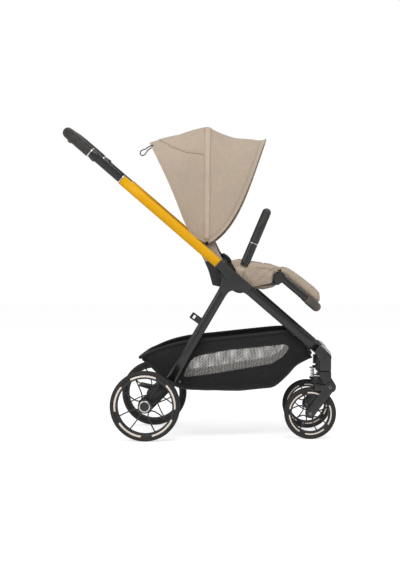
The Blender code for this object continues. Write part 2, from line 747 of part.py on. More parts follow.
def fork_crown(side, sign):
    """Swivelling crown with its post, the swing arm's bearing and the spring's upper seat."""
    y = sign * HALF_FRONT
    top = SEAM_Z - RUNNING_GAP
    front, rear = SWIVEL_X + SWIVEL_RADIUS, SWIVEL_X - SWIVEL_RADIUS
    nose = arc((ARM_PIVOT.x, ARM_PIVOT.z), 0.0205, 35, -62, 6)
    outline = [(rear, top), (rear, SEAM_Z - 0.018), (SWIVEL_X - 0.006, SEAM_Z - 0.034)]
    outline += [(ARM_PIVOT.x - 0.016, ARM_PIVOT.z - 0.006)] + list(reversed(nose))
    outline += [(front, SEAM_Z - 0.020), (front, top)]
    made = rounded(plate("crown", outline, y - CROWN_HALF, y + CROWN_HALF), 0.004, 1, 50)
    post = turned("post", [(0, -0.01), (SWIVEL_POST_RADIUS, -0.01), (SWIVEL_POST_RADIUS, POST_LENGTH),
                           (0, POST_LENGTH)], Vector((SWIVEL_X, y, top)), "Z", 14, STEEL)
    seat = turned("seat", [(0, 0), (SPRING_RADIUS + 0.003, 0), (SPRING_RADIUS + 0.003, 0.004), (0, 0.004)],
                  Vector((SPRING_AT_X, y, SPRING_HIGH_Z)), "Z", 14)
    web = box("web", (SPRING_AT_X, y - 0.007, SPRING_HIGH_Z + 0.0005),
              (SWIVEL_X, y + 0.007, SPRING_HIGH_Z + 0.010))
    made = join(made, post, web, seat)
    made = cut(made, cutter_rod(PIN_RADIUS + RUNNING_GAP / 2, y - 0.04, y + 0.04, ARM_PIVOT.x, ARM_PIVOT.z))
    made.name = f"fork_crown_{side}"
    return smooth(made)


def swing_arm(side, sign):
    """Two blades from the crown's pin to the axle, and the spring's lower seat between them."""
    y = sign * HALF_FRONT
    along = FRONT_AXLE - ARM_PIVOT
    angle = math.degrees(math.atan2(along.z, along.x))
    pieces = []
    for turn in (-1, 1):
        outline = arc((ARM_PIVOT.x, ARM_PIVOT.z), 0.0165, angle + 90, angle + 270, 6)
        outline += arc((FRONT_AXLE.x, FRONT_AXLE.z), 0.0155, angle - 90, angle + 90, 6)
        inside = y + turn * (CROWN_HALF + RUNNING_GAP)
        pieces.append(rounded(plate("blade", outline, inside, inside + turn * BLADE), 0.0015, 1, 50))
    reach = CROWN_HALF + RUNNING_GAP + BLADE - 0.001
    pin = rod("pin", PIN_RADIUS, y - reach, y + reach, ARM_PIVOT.x, ARM_PIVOT.z)
    axle = rod("axle", AXLE_RADIUS, y - reach, y + reach, FRONT_AXLE.x, FRONT_AXLE.z)
    top = SPRING_LOW_Z - SEAT_GAP
    low = top - 0.007
    seat = turned("seat", [(0, 0), (SPRING_RADIUS + 0.003, 0), (SPRING_RADIUS + 0.003, 0.007), (0, 0.007)],
                  Vector((SPRING_AT_X, y, low)), "Z", 14)
    bridge = box("bridge", (SPRING_AT_X - 0.006, y - reach, low + 0.0005),
                 (SPRING_AT_X + 0.010, y + reach, low + 0.0055))
    arms = [box("ear", (SPRING_AT_X - 0.006, y + turn * (reach - 0.002) - 0.0025, ARM_PIVOT.z - 0.012),
                (ARM_PIVOT.x - 0.004, y + turn * (reach - 0.002) + 0.0025, low + 0.0055)) for turn in (-1, 1)]
    made = join(pieces[0], pin, axle, bridge, *arms)
    made = join(made, pieces[1], seat)
    made.name = f"swing_arm_{side}"
    return smooth(made)


def suspension_spring(side, sign):
    """Compression spring, one unbroken helix whose least gap to itself is printed."""
    low, high = SPRING_LOW_Z + SPRING_WIRE / 2, SPRING_HIGH_Z - SPRING_WIRE / 2 - SEAT_GAP
    mean = SPRING_RADIUS - SPRING_WIRE / 2
    steps = SPRING_TURNS * 8
    points = []
    for i in range(steps + 1):
        turn = 2 * math.pi * i / 8
        points.append(Vector((SPRING_AT_X + mean * math.cos(turn), sign * HALF_FRONT + mean * math.sin(turn),
                              low + (high - low) * i / steps)))
    least = min((points[i] - points[j]).length for i in range(len(points))
                for j in range(i + 5, len(points))) - SPRING_WIRE
    print(f"suspension_spring_{side}: least gap between turns {least * 1000:.2f} mm")
    return smooth(tube(f"suspension_spring_{side}", points, SPRING_WIRE / 2, STEEL, 1), 60)


def front_wheel(side, sign):
    return wheel("front", side, sign, FRONT_AXLE, FRONT_RADIUS, FRONT_WHEEL_WIDTH, HALF_FRONT,
                 0.705, FRONT_WHEEL_HUB_RADIUS, 24)


# Handle

COLLAR_AT = HUB + HANDLE_DIRECTION * COLLAR_REACH
CROSSBAR_AT = HUB + HANDLE_DIRECTION * HANDLE_REACH


def handle_tube(side, sign):
    """Outer tube: hollow above, with a solid tongue round its pin in the hub."""
    y = Vector((0, sign * HALF_FRAME, 0))
    start = HUB + HANDLE_DIRECTION * (HANDLE_SOCKET_LENGTH - 0.006)
    shell = bar("shell", start + y, COLLAR_AT + y, [oval(TUBE_HEIGHT, TUBE_THICKNESS),
                oval(TUBE_HEIGHT - 2 * TUBE_WALL, TUBE_THICKNESS - 2 * TUBE_WALL)], YELLOW)
    half = TUBE_HEIGHT / 2 - RUNNING_GAP
    upper, lower = edge_points(HUB, HANDLE_DIRECTION, HANDLE_SOCKET_LENGTH + 0.025, half - 0.0004)
    round_end = arc((HANDLE_PIVOT.x, HANDLE_PIVOT.z), half, -FRAME_SLOPE - 90, 90 - FRAME_SLOPE, 10)
    tongue = plate("tongue", round_end + [(lower.x, lower.z), (upper.x, upper.z)],
                   sign * (TUBE_IN + 0.0004), sign * (TUBE_OUT - 0.0004), YELLOW)
    made = join(shell, rounded(tongue, 0.004, 1, 60))
    made = cut(made, cutter_rod(PIN_RADIUS + RUNNING_GAP / 2, sign * (TUBE_IN - 0.01),
                                sign * (TUBE_OUT + 0.01),
                                HANDLE_PIVOT.x, HANDLE_PIVOT.z))
    made.name = f"handle_tube_{side}"
    return smooth(made)


def tube_collar(side, sign):
    """Bright ring that closes the outer tube round the telescoping one."""
    start = COLLAR_AT + HANDLE_DIRECTION * SEAT_GAP + Vector((0, sign * HALF_FRAME, 0))
    return smooth(bar(f"tube_collar_{side}", start, start + HANDLE_DIRECTION * COLLAR_LENGTH, [
        oval(TUBE_HEIGHT + 0.001, TUBE_THICKNESS + 0.001),
        oval(INNER_TUBE_HEIGHT + 2 * SEAT_GAP, INNER_TUBE_THICKNESS + 2 * SEAT_GAP)], STEEL))


def inner_tube(side, sign):
    """Telescoping tube with the moulded bracket that carries the grip."""
    y = Vector((0, sign * HALF_FRAME, 0))
    start = HUB + HANDLE_DIRECTION * (COLLAR_REACH - INNER_TUBE_OVERLAP) + y
    end = HUB + HANDLE_DIRECTION * (BRACKET_REACH + 0.002) + y
    shaft = bar("shaft", start, end, [oval(INNER_TUBE_HEIGHT, INNER_TUBE_THICKNESS)], TUBE)
    normal = Vector((-HANDLE_DIRECTION.z, 0, HANDLE_DIRECTION.x))
    rings = []
    for share, height, thick in ((0, 0.036, 0.025), (0.1, 0.038, 0.0265), (0.75, 0.0335, 0.0265),
                                 (1, 0.030, 0.026)):
        middle = HUB + HANDLE_DIRECTION * (BRACKET_REACH + BRACKET_LENGTH * share) + y
        rings.append([middle + normal * u + Vector((0, v, 0)) for u, v in oval(height, thick)])
    made = join(shaft, loft("bracket", rings, BLACK))
    made.name = f"inner_tube_{side}"
    return smooth(made)


def handle_grip():
    """U-shaped padded grip between the two brackets."""
    start = HUB + HANDLE_DIRECTION * (BRACKET_REACH + BRACKET_LENGTH + SEAT_GAP)
    end = CROSSBAR_AT
    bend = GRIP_BEND
    half = HALF_FRAME - 0.002
    middle = start.lerp(end - HANDLE_DIRECTION * bend, 0.6)
    points = [start + Vector((0, -half, 0)), middle + Vector((0, -half, 0))]
    for i in range(7):
        angle = math.radians(90 * i / 6)
        wide = -half + bend * (1 - math.cos(angle))
        points.append(end - HANDLE_DIRECTION * bend * (1 - math.sin(angle)) + Vector((0, wide, 0)))
    points += [Vector((p.x, -p.y, p.z)) for p in reversed(points)]
    made = tube("grip", points, GRIP_RADIUS, LEATHER, 3)
    made = cut(made, button_block("pocket", BUTTON_DEPTH + BUTTON_TRAVEL + SEAT_GAP, SEAT_GAP))
    made.name = "handle_grip"
    return smooth(made)


def button_block(name, depth, clearance):
    """Block of the rocker, or with a clearance its pocket, down to a depth under the grip's surface."""
    out = Vector((-HANDLE_DIRECTION.z, 0, HANDLE_DIRECTION.x))
    half = BUTTON_HEIGHT / 2 + clearance
    outline = [CROSSBAR_AT + HANDLE_DIRECTION * a + out * (GRIP_RADIUS + b) for a, b in
               ((-half, -depth), (-half, BUTTON_PROUD), (half, BUTTON_PROUD), (half, -depth))]
    return plate(name, [(p.x, p.z) for p in outline], -BUTTON_WIDTH / 2 - clearance,
                 BUTTON_WIDTH / 2 + clearance)


def handle_button():
    """Rocker in its pocket under the crossbar, which releases the telescoping tubes."""
    made = rounded(button_block("button", BUTTON_DEPTH, 0), 0.002, 1, 40)
    made.name = "handle_button"
    return smooth(made)


# Seat unit

SEAT_PLATE_OUT = HALF_SEAT
SEAT_PLATE_IN = HALF_SEAT - 0.010
RECLINE_PIVOT = HUB + Vector((-0.0555, 0, -0.022))
BACK_DIRECTION = direction(90 + BACKREST_ANGLE)
BACK_NORMAL = direction(BACKREST_ANGLE)
FOOT_PIVOT = HUB + Vector((0.1603, 0, -0.0075))
FOOT_DIRECTION = direction(-40.2)
BUMPER_DIRECTION = direction(BUMPER_SLOPE)
BUMPER_FOOT = HUB + Vector((0.0445, 0, 0.0438))
BUMPER_RING = BUMPER_FOOT + BUMPER_DIRECTION * BUMPER_SLEEVE
BUMPER_TOP = BUMPER_FOOT + BUMPER_DIRECTION * BUMPER_REACH
BUMPER_HALF = HALF_SEAT - 0.004


def u_path(start, end, half, bend, steps=5):
    """Right side from start towards end, across, and back along the left side, with round corners."""
    along = (end - start).normalized()
    points = [start + Vector((0, -half, 0))]
    for i in range(steps + 1):
        angle = math.radians(90 * i / steps)
        wide = bend * (1 - math.cos(angle)) - half
        points.append(end - along * bend * (1 - math.sin(angle)) + Vector((0, wide, 0)))
    return points + [Vector((p.x, -p.y, p.z)) for p in reversed(points)]


def seat_point(along, up):
    """A point of the seat pad's middle plane: distance forward from its thickest place, and up out of it."""
    slope = direction(-SEAT_SLOPE)
    return HUB + Vector((0.0195, 0, 0.026)) + slope * along + Vector((-slope.z, 0, slope.x)) * up


def seat_pan():
    """Moulded pan between the seat tubes, on which the pad lies."""
    under = -PAD_THICKNESS / 2 - SEAT_GAP
    rear, front = seat_point(0.002, under), seat_point(0.134, under)
    low, wall = front.z - 0.004, 0.005
    outline = [(rear.x, rear.z), (front.x, front.z), (front.x, low), (rear.x - 0.036, low),
               (rear.x - 0.036, low + wall), (rear.x, low + wall)]
    half = SEAT_PLATE_IN - SEAT_TUBE_RADIUS
    return plate("pan", outline, -half, half)


def seat_frame():
    """Seat tube that runs round under the pad, side plates with the recline joint, and the two lugs."""
    half = SEAT_PLATE_IN - SEAT_TUBE_RADIUS + 0.003
    back = RECLINE_PIVOT + Vector((0.030, 0, 0.002))
    front = FOOT_PIVOT + Vector((-0.004, 0, -0.017))
    made = tube("seat_frame", u_path(back, front, half, 0.035, 5), SEAT_TUBE_RADIUS, TUBE, 1)
    made = join(made, seat_pan())
    rear_low, rear_up = RECLINE_PIVOT + Vector((0.014, 0, -0.018)), RECLINE_PIVOT + Vector((-0.034, 0, 0.066))
    outline = [(rear_up.x, rear_up.z), (rear_up.x + 0.022, rear_up.z + 0.004),
               (BUMPER_FOOT.x + 0.016, BUMPER_FOOT.z - 0.008), (FOOT_PIVOT.x - 0.012, FOOT_PIVOT.z + 0.006),
               (FOOT_PIVOT.x - 0.012, FOOT_PIVOT.z - 0.026), (rear_low.x, rear_low.z),
               (RECLINE_PIVOT.x - 0.013, RECLINE_PIVOT.z - 0.012)]
    for _, sign in SIDES:
        side = plate("side", outline, sign * SEAT_PLATE_IN, sign * SEAT_PLATE_OUT)
        half_lug = LUG_WIDTH / 2
        low = (SOCKET_AT.x - half_lug, min(sign * (HALF_SEAT - 0.002),
                                           sign * (HALF_SEAT + LUG_THICKNESS - SEAT_GAP)),
               SOCKET_AT.z - LUG_DEPTH + SEAT_GAP)
        high = (SOCKET_AT.x + half_lug, max(sign * (HALF_SEAT - 0.002),
                                            sign * (HALF_SEAT + LUG_THICKNESS - SEAT_GAP)),
                SOCKET_AT.z + SOCKET_RADIUS - 0.002)
        lug = box("lug", low, high)
        foot_boss = rod("boss", 0.0105, sign * (SEAT_PLATE_IN - 0.001), sign * (SEAT_PLATE_OUT - 0.001),
                        FOOT_PIVOT.x - 0.004, FOOT_PIVOT.z - 0.004)
        hinge_pin = rod("pin", PIN_RADIUS, sign * (SEAT_PLATE_IN - 0.018), sign * (SEAT_PLATE_IN + 0.002),
                        RECLINE_PIVOT.x, RECLINE_PIVOT.z)
        knee_pin = rod("knee", PIN_RADIUS, sign * (SEAT_PLATE_IN + 0.001), sign * (SEAT_PLATE_OUT + 0.0135),
                       FOOT_PIVOT.x, FOOT_PIVOT.z)
        made = join(made, side, lug, foot_boss, hinge_pin, knee_pin, bumper_sleeve(sign))
    made.name = "seat_frame"
    return smooth(made)


def smooth_line(points, count):
    """Points evenly spaced along a smooth curve through the given ones."""
    points = [Vector(p) for p in points]
    padded = [points[0] * 2 - points[1]] + points + [points[-1] * 2 - points[-2]]
    dense = []
    for a, b, c, d in zip(padded, padded[1:], padded[2:], padded[3:]):
        for i in range(12):
            t = i / 12
            dense.append(0.5 * (2 * b + (c - a) * t + (2 * a - 5 * b + 4 * c - d) * t * t
                                + (3 * b - a - 3 * c + d) * t ** 3))
    dense.append(points[-1])
    lengths = [0.0]
    for p, q in zip(dense, dense[1:]):
        lengths.append(lengths[-1] + (q - p).length)
    line, j = [], 0
    for i in range(count):
        want = lengths[-1] * i / (count - 1)
        while j < len(lengths) - 2 and lengths[j + 1] < want:
            j += 1
        share = (want - lengths[j]) / max(1e-9, lengths[j + 1] - lengths[j])
        line.append(dense[j].lerp(dense[j + 1], min(1.0, share)))
    return line


def cushion(name, line, half_width, thickness, channels, count, around=16, taper=0.12, narrow=0.07):
    """Crowned pad along a line in the side plane, with sides and ends drawn in and sewn channels across."""
    points = smooth_line(line, count)
    rings = []
    for i, middle in enumerate(points):
        share = i / (count - 1)
        before, after = points[max(0, i - 1)], points[min(count - 1, i + 1)]
        along = (after - before).normalized()
        up = Vector((-along.z, 0, along.x))
        if up.z < 0:
            up = -up
        end = min(1.0, min(share, 1 - share) / taper)
        swell = math.sqrt(max(0.0, 1 - (1 - end) ** 2)) * 0.92 + 0.08
        groove = sum(0.35 * math.exp(-((share - c) / 0.022) ** 2) for c in channels)
        wide = half_width * (1 - narrow * (1 - swell)) * (1 - 0.015 * math.sin(math.pi * share))
        ring = []
        for j in range(around):
            angle = 2 * math.pi * j / around
            c, s = math.cos(angle), math.sin(angle)
            across = wide * math.copysign(abs(c) ** 0.45, c)
            crown = 0.72 + 0.28 * (1 - (across / wide) ** 2)
            high = thickness / 2 * swell * math.copysign(abs(s) ** 0.7, s) * crown
            if s > 0:
                high *= 1 - groove
            ring.append(middle + Vector((0, across, 0)) + up * high)
        rings.append(ring)
    return loft(name, rings, FABRIC)


def cushion_rise(share):
    """Height of a cushion's face, as a share of its half thickness, at a share of its half width."""
    return 1 - 0.256 * share


def seat_pad():
    """Seat cushion with its rolled front edge over the knee joint."""
    line = [seat_point(-0.036, -0.0115), seat_point(0, 0), seat_point(0.045, 0), seat_point(0.090, 0),
            seat_point(0.115, 0), seat_point(0.144, -0.002)]
    return cushion("seat_pad", line, SEAT_PLATE_IN - 0.0235, PAD_THICKNESS, (0.36, 0.66), 21)


def calf_pad():
    """Pad over the footrest tube, whose lower end curls down onto the leather sleeve."""
    line = [foot_point(along, out) for along, out in
            ((0.010, 0.0240), (0.040, 0.0305), (0.078, 0.0335), (0.120, 0.0345),
             (0.148, 0.0310), (0.1590, 0.0212))]
    return cushion("calf_pad", line, FOOT_HALF - FOOTREST_TUBE_RADIUS - 0.004, CALF_PAD_THICKNESS,
                   (0.4, 0.7), 19)


def foot_point(along, out):
    """A point of the footrest: distance down from the knee joint, and up out of its plane."""
    return FOOT_PIVOT + FOOT_DIRECTION * along + Vector((-FOOT_DIRECTION.z, 0, FOOT_DIRECTION.x)) * out


FOOT_HALF = HALF_SEAT + 0.002
FOOT_END = foot_point(FOOTREST_LENGTH, FOOTREST_OFFSET)


def footrest_frame():
    """U-shaped tube that hangs from the two knee hinges."""
    start = foot_point(0.014, FOOTREST_OFFSET)
    made = tube("foot", u_path(start, FOOT_END, FOOT_HALF, FOOTREST_BEND), FOOTREST_TUBE_RADIUS, TUBE, 2)
    for _, sign in SIDES:
        knuckle = disc("knuckle", KNEE_RADIUS, sign * (SEAT_PLATE_OUT + SEAT_GAP),
                       sign * (FOOT_HALF + FOOTREST_TUBE_RADIUS + 0.001), FOOT_PIVOT.x, FOOT_PIVOT.z, 18)
        made = join(made, knuckle)
        made = cut(made, cutter_rod(PIN_RADIUS + RUNNING_GAP / 2, sign * (SEAT_PLATE_OUT - 0.003),
                                    sign * (SEAT_PLATE_OUT + 0.0135 + SEAT_GAP), FOOT_PIVOT.x, FOOT_PIVOT.z))
    made.name = "footrest_frame"
    return smooth(made)


def footrest_sleeve():
    """Leather sleeve round the lower bend of the footrest tube."""
    start = FOOT_END - FOOT_DIRECTION * SLEEVE_REACH
    path = u_path(start, FOOT_END, FOOT_HALF, FOOTREST_BEND)
    made = tube("footrest_sleeve", path, FOOTREST_TUBE_RADIUS + SLEEVE_WALL, LEATHER, 2)
    longer = u_path(start - FOOT_DIRECTION * 0.01, FOOT_END, FOOT_HALF, FOOTREST_BEND)
    made = cut(made, tube("bore", longer, FOOTREST_TUBE_RADIUS + SEAT_GAP * 2, LEATHER, 2))
    made.name = "footrest_sleeve"
    return smooth(made)


def bumper_sleeve(sign):
    """Sleeve on the seat's side plate that the bumper bar plugs into."""
    y = Vector((0, sign * BUMPER_HALF, 0))
    section = oval(BUMPER_RADIUS * 1.95, BUMPER_RADIUS * 1.8)
    hole = oval(BUMPER_RADIUS * 1.1 + 2 * SEAT_GAP, BUMPER_RADIUS * 1.1 + 2 * SEAT_GAP)
    return bar("sleeve", BUMPER_FOOT - BUMPER_DIRECTION * 0.012 + y,
               BUMPER_RING - BUMPER_DIRECTION * SEAT_GAP + y, [section, hole], BLACK)


def bumper_bar():
    """Padded bar across the seat, with a peg at each end that sits in a sleeve."""
    made = tube("bumper", u_path(BUMPER_RING, BUMPER_TOP - BUMPER_DIRECTION * BUMPER_RADIUS, BUMPER_HALF,
                                 0.062),
                BUMPER_RADIUS, LEATHER, 2)
    for _, sign in SIDES:
        y = Vector((0, sign * BUMPER_HALF, 0))
        peg = bar("peg", BUMPER_RING - BUMPER_DIRECTION * BUMPER_PEG + y,
                  BUMPER_RING + BUMPER_DIRECTION * 0.003 + y,
                  [oval(BUMPER_RADIUS * 1.1, BUMPER_RADIUS * 1.1)], STEEL)
        made = join(made, peg)
    made.name = "bumper_bar"
    return smooth(made)


def back_point(along, out):
    """A point of the backrest: distance up from the recline joint, and forward of its rear face."""
    return BACK_FOOT + BACK_DIRECTION * along + BACK_NORMAL * out


BACK_FOOT = RECLINE_PIVOT + Vector((-0.0080, 0, -0.004))
CANOPY_PIVOT = HUB + Vector((-0.088, 0, 0.1086))
BACK_HALF = HALF_SEAT - 0.0275
BACK_PAD_HALF = BACK_HALF - 0.022
BACK_PAD_OUT = SHELL_WALL + 2.4 * SEAT_GAP + BACK_PAD_THICKNESS / 2
BUCKLE_AT = HUB + Vector((-0.014, 0, 0.0716))


def backrest_shell():
    """Curved back panel with wings, hinge ears and the lugs that carry the canopy."""
    rings = []
    for i in range(9):
        share = 1 - (1 - i / 8) ** 1.6
        along = 0.012 + (BACKREST_LENGTH - 0.012) * share
        half = BACK_HALF * (1 - 0.35 * max(0.0, (share - 0.7) / 0.3) ** 2.5)
        ring = []
        for v in (-1, -0.94, -0.6, 0, 0.6, 0.94, 1):
            wing = WING_DEPTH if abs(v) > 0.97 else 0.0045 * (abs(v) > 0.9)
            ring.append(back_point(along, wing) + Vector((0, v * half, 0)))
        for v in (0.965, 0.9, 0.6, 0, -0.6, -0.9, -0.965):
            inner = WING_DEPTH if abs(v) > 0.95 else SHELL_WALL + 0.003 * (abs(v) > 0.85)
            ring.append(back_point(along, inner) + Vector((0, v * half, 0)))
        rings.append(ring)
    made = loft("shell", rings, FABRIC)
    for _, sign in SIDES:
        outline = [(RECLINE_PIVOT.x + 0.011, RECLINE_PIVOT.z - 0.004),
                   (RECLINE_PIVOT.x, RECLINE_PIVOT.z - 0.012),
                   (RECLINE_PIVOT.x - 0.011, RECLINE_PIVOT.z - 0.004)]
        for along, out in ((0.090, 0.001), (0.090, 0.020)):
            point = back_point(along, out)
            outline.append((point.x, point.z))
        ear = plate("ear", outline, sign * (BACK_HALF - 0.0075), sign * (BACK_HALF + 0.0045))
        ear = cut(ear, cutter_rod(PIN_RADIUS + RUNNING_GAP / 2, sign * (BACK_HALF - 0.02),
                                  sign * (BACK_HALF + 0.02),
                                  RECLINE_PIVOT.x, RECLINE_PIVOT.z))
        root = CANOPY_PIVOT - BACK_NORMAL * 0.036
        lug = [(p.x, p.z) for p in (root - BACK_DIRECTION * 0.016, root + BACK_DIRECTION * 0.016)]
        lug += arc((CANOPY_PIVOT.x, CANOPY_PIVOT.z), 0.011, 90 + BACKREST_ANGLE, BACKREST_ANGLE - 90, 6)
        mount = plate("lug", lug, sign * (BACK_HALF - 0.003), sign * (BACK_HALF + 0.0012))
        pin = rod("pin", 0.004, sign * (BACK_HALF - 0.002), sign * (ARM_OUTER + ARM_THICKNESS + 0.0004),
                  CANOPY_PIVOT.x, CANOPY_PIVOT.z, 12)
        made = join(made, ear, mount, pin)
    made.name = "backrest_shell"
    return smooth(made)


ARM_INNER = BACK_HALF + 0.0012 + SEAT_GAP
ARM_OUTER = ARM_INNER + ARM_THICKNESS + SEAT_GAP


def backrest_pad():
    line = [back_point(along, out) for along, out in
            ((0.085, BACK_PAD_OUT + 0.003), (0.16, BACK_PAD_OUT + 0.001), (0.27, BACK_PAD_OUT),
             (0.38, BACK_PAD_OUT), (0.462, BACK_PAD_OUT))]
    return cushion("backrest_pad", line, BACK_PAD_HALF, BACK_PAD_THICKNESS, (0.3, 0.62), 21, 16, 0.08, 0.2)


def shoulder_strap(side, sign):
    """Webbing strap that lies on the backrest pad."""
    rise = cushion_rise((0.034 - STRAP_WIDTH / 2) / BACK_PAD_HALF)
    face = BACK_PAD_OUT + BACK_PAD_THICKNESS / 2 * rise + SEAT_GAP + STRAP_THICKNESS / 2
    line = [back_point(along, face + lift) + Vector((0, sign * y, 0)) for along, lift, y in
            ((0.400, 0.0002, 0.050), (0.30, 0.0004, 0.050), (0.20, 0.0013, 0.045), (0.135, 0.0030, 0.034))]
    line += [BUCKLE_AT + BACK_DIRECTION * a + BACK_NORMAL * b + Vector((0, sign * 0.016, 0))
             for a, b in ((0.030, -0.014), (0.016, -0.0072 - SEAT_GAP - STRAP_THICKNESS / 2))]
    corners = ((-1, -1), (1, -1), (1, 1), (-1, 1))
    rings = [[point + Vector((0, a * STRAP_WIDTH / 2, 0)) + BACK_NORMAL * b * STRAP_THICKNESS / 2
              for a, b in corners] for point in smooth_line(line, 10)]
    return loft(f"shoulder_strap_{side}", rings, BLACK)


def harness_buckle():
    """Moulded buckle at the lap, on its crotch strap."""
    middle = BUCKLE_AT
    outline = [middle + BACK_DIRECTION * a + BACK_NORMAL * b for a, b in
               ((-0.022, -0.006), (0.022, -0.007), (0.025, 0.0), (0.020, 0.009), (-0.018, 0.010),
                (-0.024, 0.002))]
    body = rounded(plate("body", [(p.x, p.z) for p in outline], -0.029, 0.029), 0.003, 2, 40)
    tip = middle - BACK_DIRECTION * 0.020 + BACK_NORMAL * 0.002
    strap = plate("strap", [(tip.x - 0.002, tip.z), (tip.x + 0.004, tip.z + 0.003),
                            (tip.x + 0.026, tip.z), (tip.x + 0.025, tip.z - 0.0030)], -0.012, 0.012)
    made = join(body, strap)
    made.name = "harness_buckle"
    return smooth(made)


# Canopy

def canopy_rear_edge(reach):
    """Angle of the canopy's rear edge at a distance from the pivot: it opens out towards the pivot."""
    return CANOPY_REAR + REAR_FLARE * math.exp(1 - max(reach, 0.060) / 0.075)


def canopy_front_edge(reach):
    return CANOPY_FRONT - FRONT_FLARE * math.exp(-reach / 0.105)


def canopy_stations():
    """Angles round a bow, from the right side over the top to the left one, close where it bends little."""
    right = []
    for i in range(PANEL_STEPS + 1):
        share = PANEL_START + (1 - PANEL_START) * i / PANEL_STEPS
        right.append(math.pi / 2 * math.sin(share * math.pi / 2) ** 2)
    return right + [math.pi - phi for phi in reversed(right[:-1])]


def canopy_point(phi, theta, shrink):
    """Point of a bow at angle theta; phi runs from the right pivot over the top to the left one."""
    c, s = math.cos(phi), max(0.0, math.sin(phi))
    half = HALF_CANOPY - shrink
    across = -half * math.copysign(abs(c) ** CANOPY_POWER, c)
    reach = (CANOPY_RADIUS - shrink) * s ** CANOPY_POWER
    ray = direction(theta)
    return CANOPY_PIVOT + ray * reach + Vector((0, across, 0)), reach


def canopy_panel(name, from_edge, to_edge, swell, look=FABRIC):
    """Curved sheet stretched between two bows, closed by its own thickness."""
    along = 5
    rows = []
    for phi in canopy_stations():
        _, reach = canopy_point(phi, 90, 0)
        row = []
        for j in range(along + 1):
            share = j / along
            theta = from_edge(reach) + (to_edge(reach) - from_edge(reach)) * share
            point, _ = canopy_point(phi, theta, 0)
            spread = abs(math.radians(to_edge(CANOPY_RADIUS) - from_edge(CANOPY_RADIUS)))
            chord = reach * (1 - math.cos(spread * (0.5 - abs(share - 0.5)) * 0.9))
            lift = (swell * 4 * share * (1 - share) - 0.5 * chord) * min(1.0, reach / CANOPY_RADIUS)
            row.append(point + direction(theta) * lift * math.sin(phi) ** 0.5)
        rows.append(row)
    form = bmesh.new()
    grid = [[form.verts.new(p) for p in row] for row in rows]
    for a, b in zip(grid, grid[1:]):
        for j in range(along):
            form.faces.new((a[j], a[j + 1], b[j + 1], b[j]))
    bmesh.ops.recalc_face_normals(form, faces=form.faces)
    data = bpy.data.meshes.new(name)
    form.to_mesh(data)
    form.free()
    made = link(data, name, look)
    wall = made.modifiers.new("wall", "SOLIDIFY")
    wall.thickness = PANEL_THICKNESS
    wall.offset = -1 if data.polygons[PANEL_STEPS * along].normal.z > 0 else 1
    return smooth(as_mesh(made), 50)


def canopy_bow(name, theta, layer, drop):
    """Hoop of round rod under the cloth, with a flat arm at each end that turns on the canopy's pin."""
    half = layer + ARM_THICKNESS / 2
    ray = direction(theta)
    root = CANOPY_PIVOT + ray * BOW_ARM * 0.85
    points = []
    for phi in canopy_stations():
        point, reach = canopy_point(phi, theta, PANEL_THICKNESS + BOW_RADIUS + drop)
        point.y = max(-half, min(half, point.y))
        if reach > BOW_ARM:
            points.append(point)
    points = [root - Vector((0, half, 0))] + points + [root + Vector((0, half, 0))]
    made = tube("bow", points, BOW_RADIUS, BLACK, 1)
    for _, sign in SIDES:
        side = Vector((-ray.z, 0, ray.x))
        tip = CANOPY_PIVOT + ray * BOW_ARM
        outline = [(p.x, p.z) for p in (tip - side * 0.0045, tip + side * 0.0045)]
        outline += arc((CANOPY_PIVOT.x, CANOPY_PIVOT.z), 0.010, theta + 90, theta + 270, 6)
        arm = plate("arm", outline, sign * layer, sign * (layer + ARM_THICKNESS))
        arm = cut(arm, cutter_rod(0.004 + SEAT_GAP, sign * (layer - 0.01), sign * (layer + 0.02),
                                  CANOPY_PIVOT.x, CANOPY_PIVOT.z, 12))
        made = join(made, arm)
    made.name = name
    return smooth(made)


def canopy():
    split = CANOPY_SPLIT / 2
    canopy_panel("canopy_rear_panel", canopy_rear_edge, lambda reach: CANOPY_RIB + split, CANOPY_BULGE)
    canopy_panel("canopy_front_panel", lambda reach: CANOPY_RIB - split, canopy_front_edge, -CANOPY_SAG)
    canopy_bow("canopy_middle_bow", CANOPY_RIB, ARM_INNER, SEAT_GAP)
    canopy_bow("canopy_front_bow", CANOPY_FRONT + 1.0, ARM_OUTER, SEAT_GAP + CANOPY_SAG)


# Basket

def basket_x(share):
    """Place along the basket, as a share of the way from the hub to the swivels, or back to the rear axle."""
    return share * (FRONT_SPAN if share > 0 else REAR_SPAN)


STUD = Vector((basket_x(STUD_SHARE), 0,
               -basket_x(STUD_SHARE) * math.tan(math.radians(FRAME_SLOPE)) - STUD_BELOW))


def basket_rim_points():
    """Right half of the rim, from the rear corner to the front."""
    half = HALF_BASKET
    return [HUB + Vector((basket_x(share), -wide, z)) for share, wide, z in
            ((-1.0590, half - 0.032, -0.284), (-0.7926, half - 0.014, -0.252),
             (-0.5329, half - 0.004, -0.235), (-0.2024, half, -0.2255),
             (0.2911, half, -0.209), (0.5321, half - 0.015, -0.199), (STUD_SHARE, half - STUD_INSET, STUD.z),
             (0.7825, half - 0.037, -0.236), (0.8638, half - 0.056, -0.281))]


def rim_line():
    """Right half of the rim at evenly spaced stations, one of them where its stud sits."""
    points = basket_rim_points()
    return smooth_line(points[:7], BASKET_STATIONS - 3) + smooth_line(points[6:], 4)[1:]


def leg_inner_face(reach):
    """Distance from the middle plane to the inner face of a front leg, at a reach down it from the hub."""
    bend = HUB_SOCKET_LENGTH + 0.004
    share = (reach - bend) / ((LEG_END - HUB).length - bend)
    return HALF_FRAME + (HALF_FRONT - HALF_FRAME) * share - TUBE_THICKNESS / 2


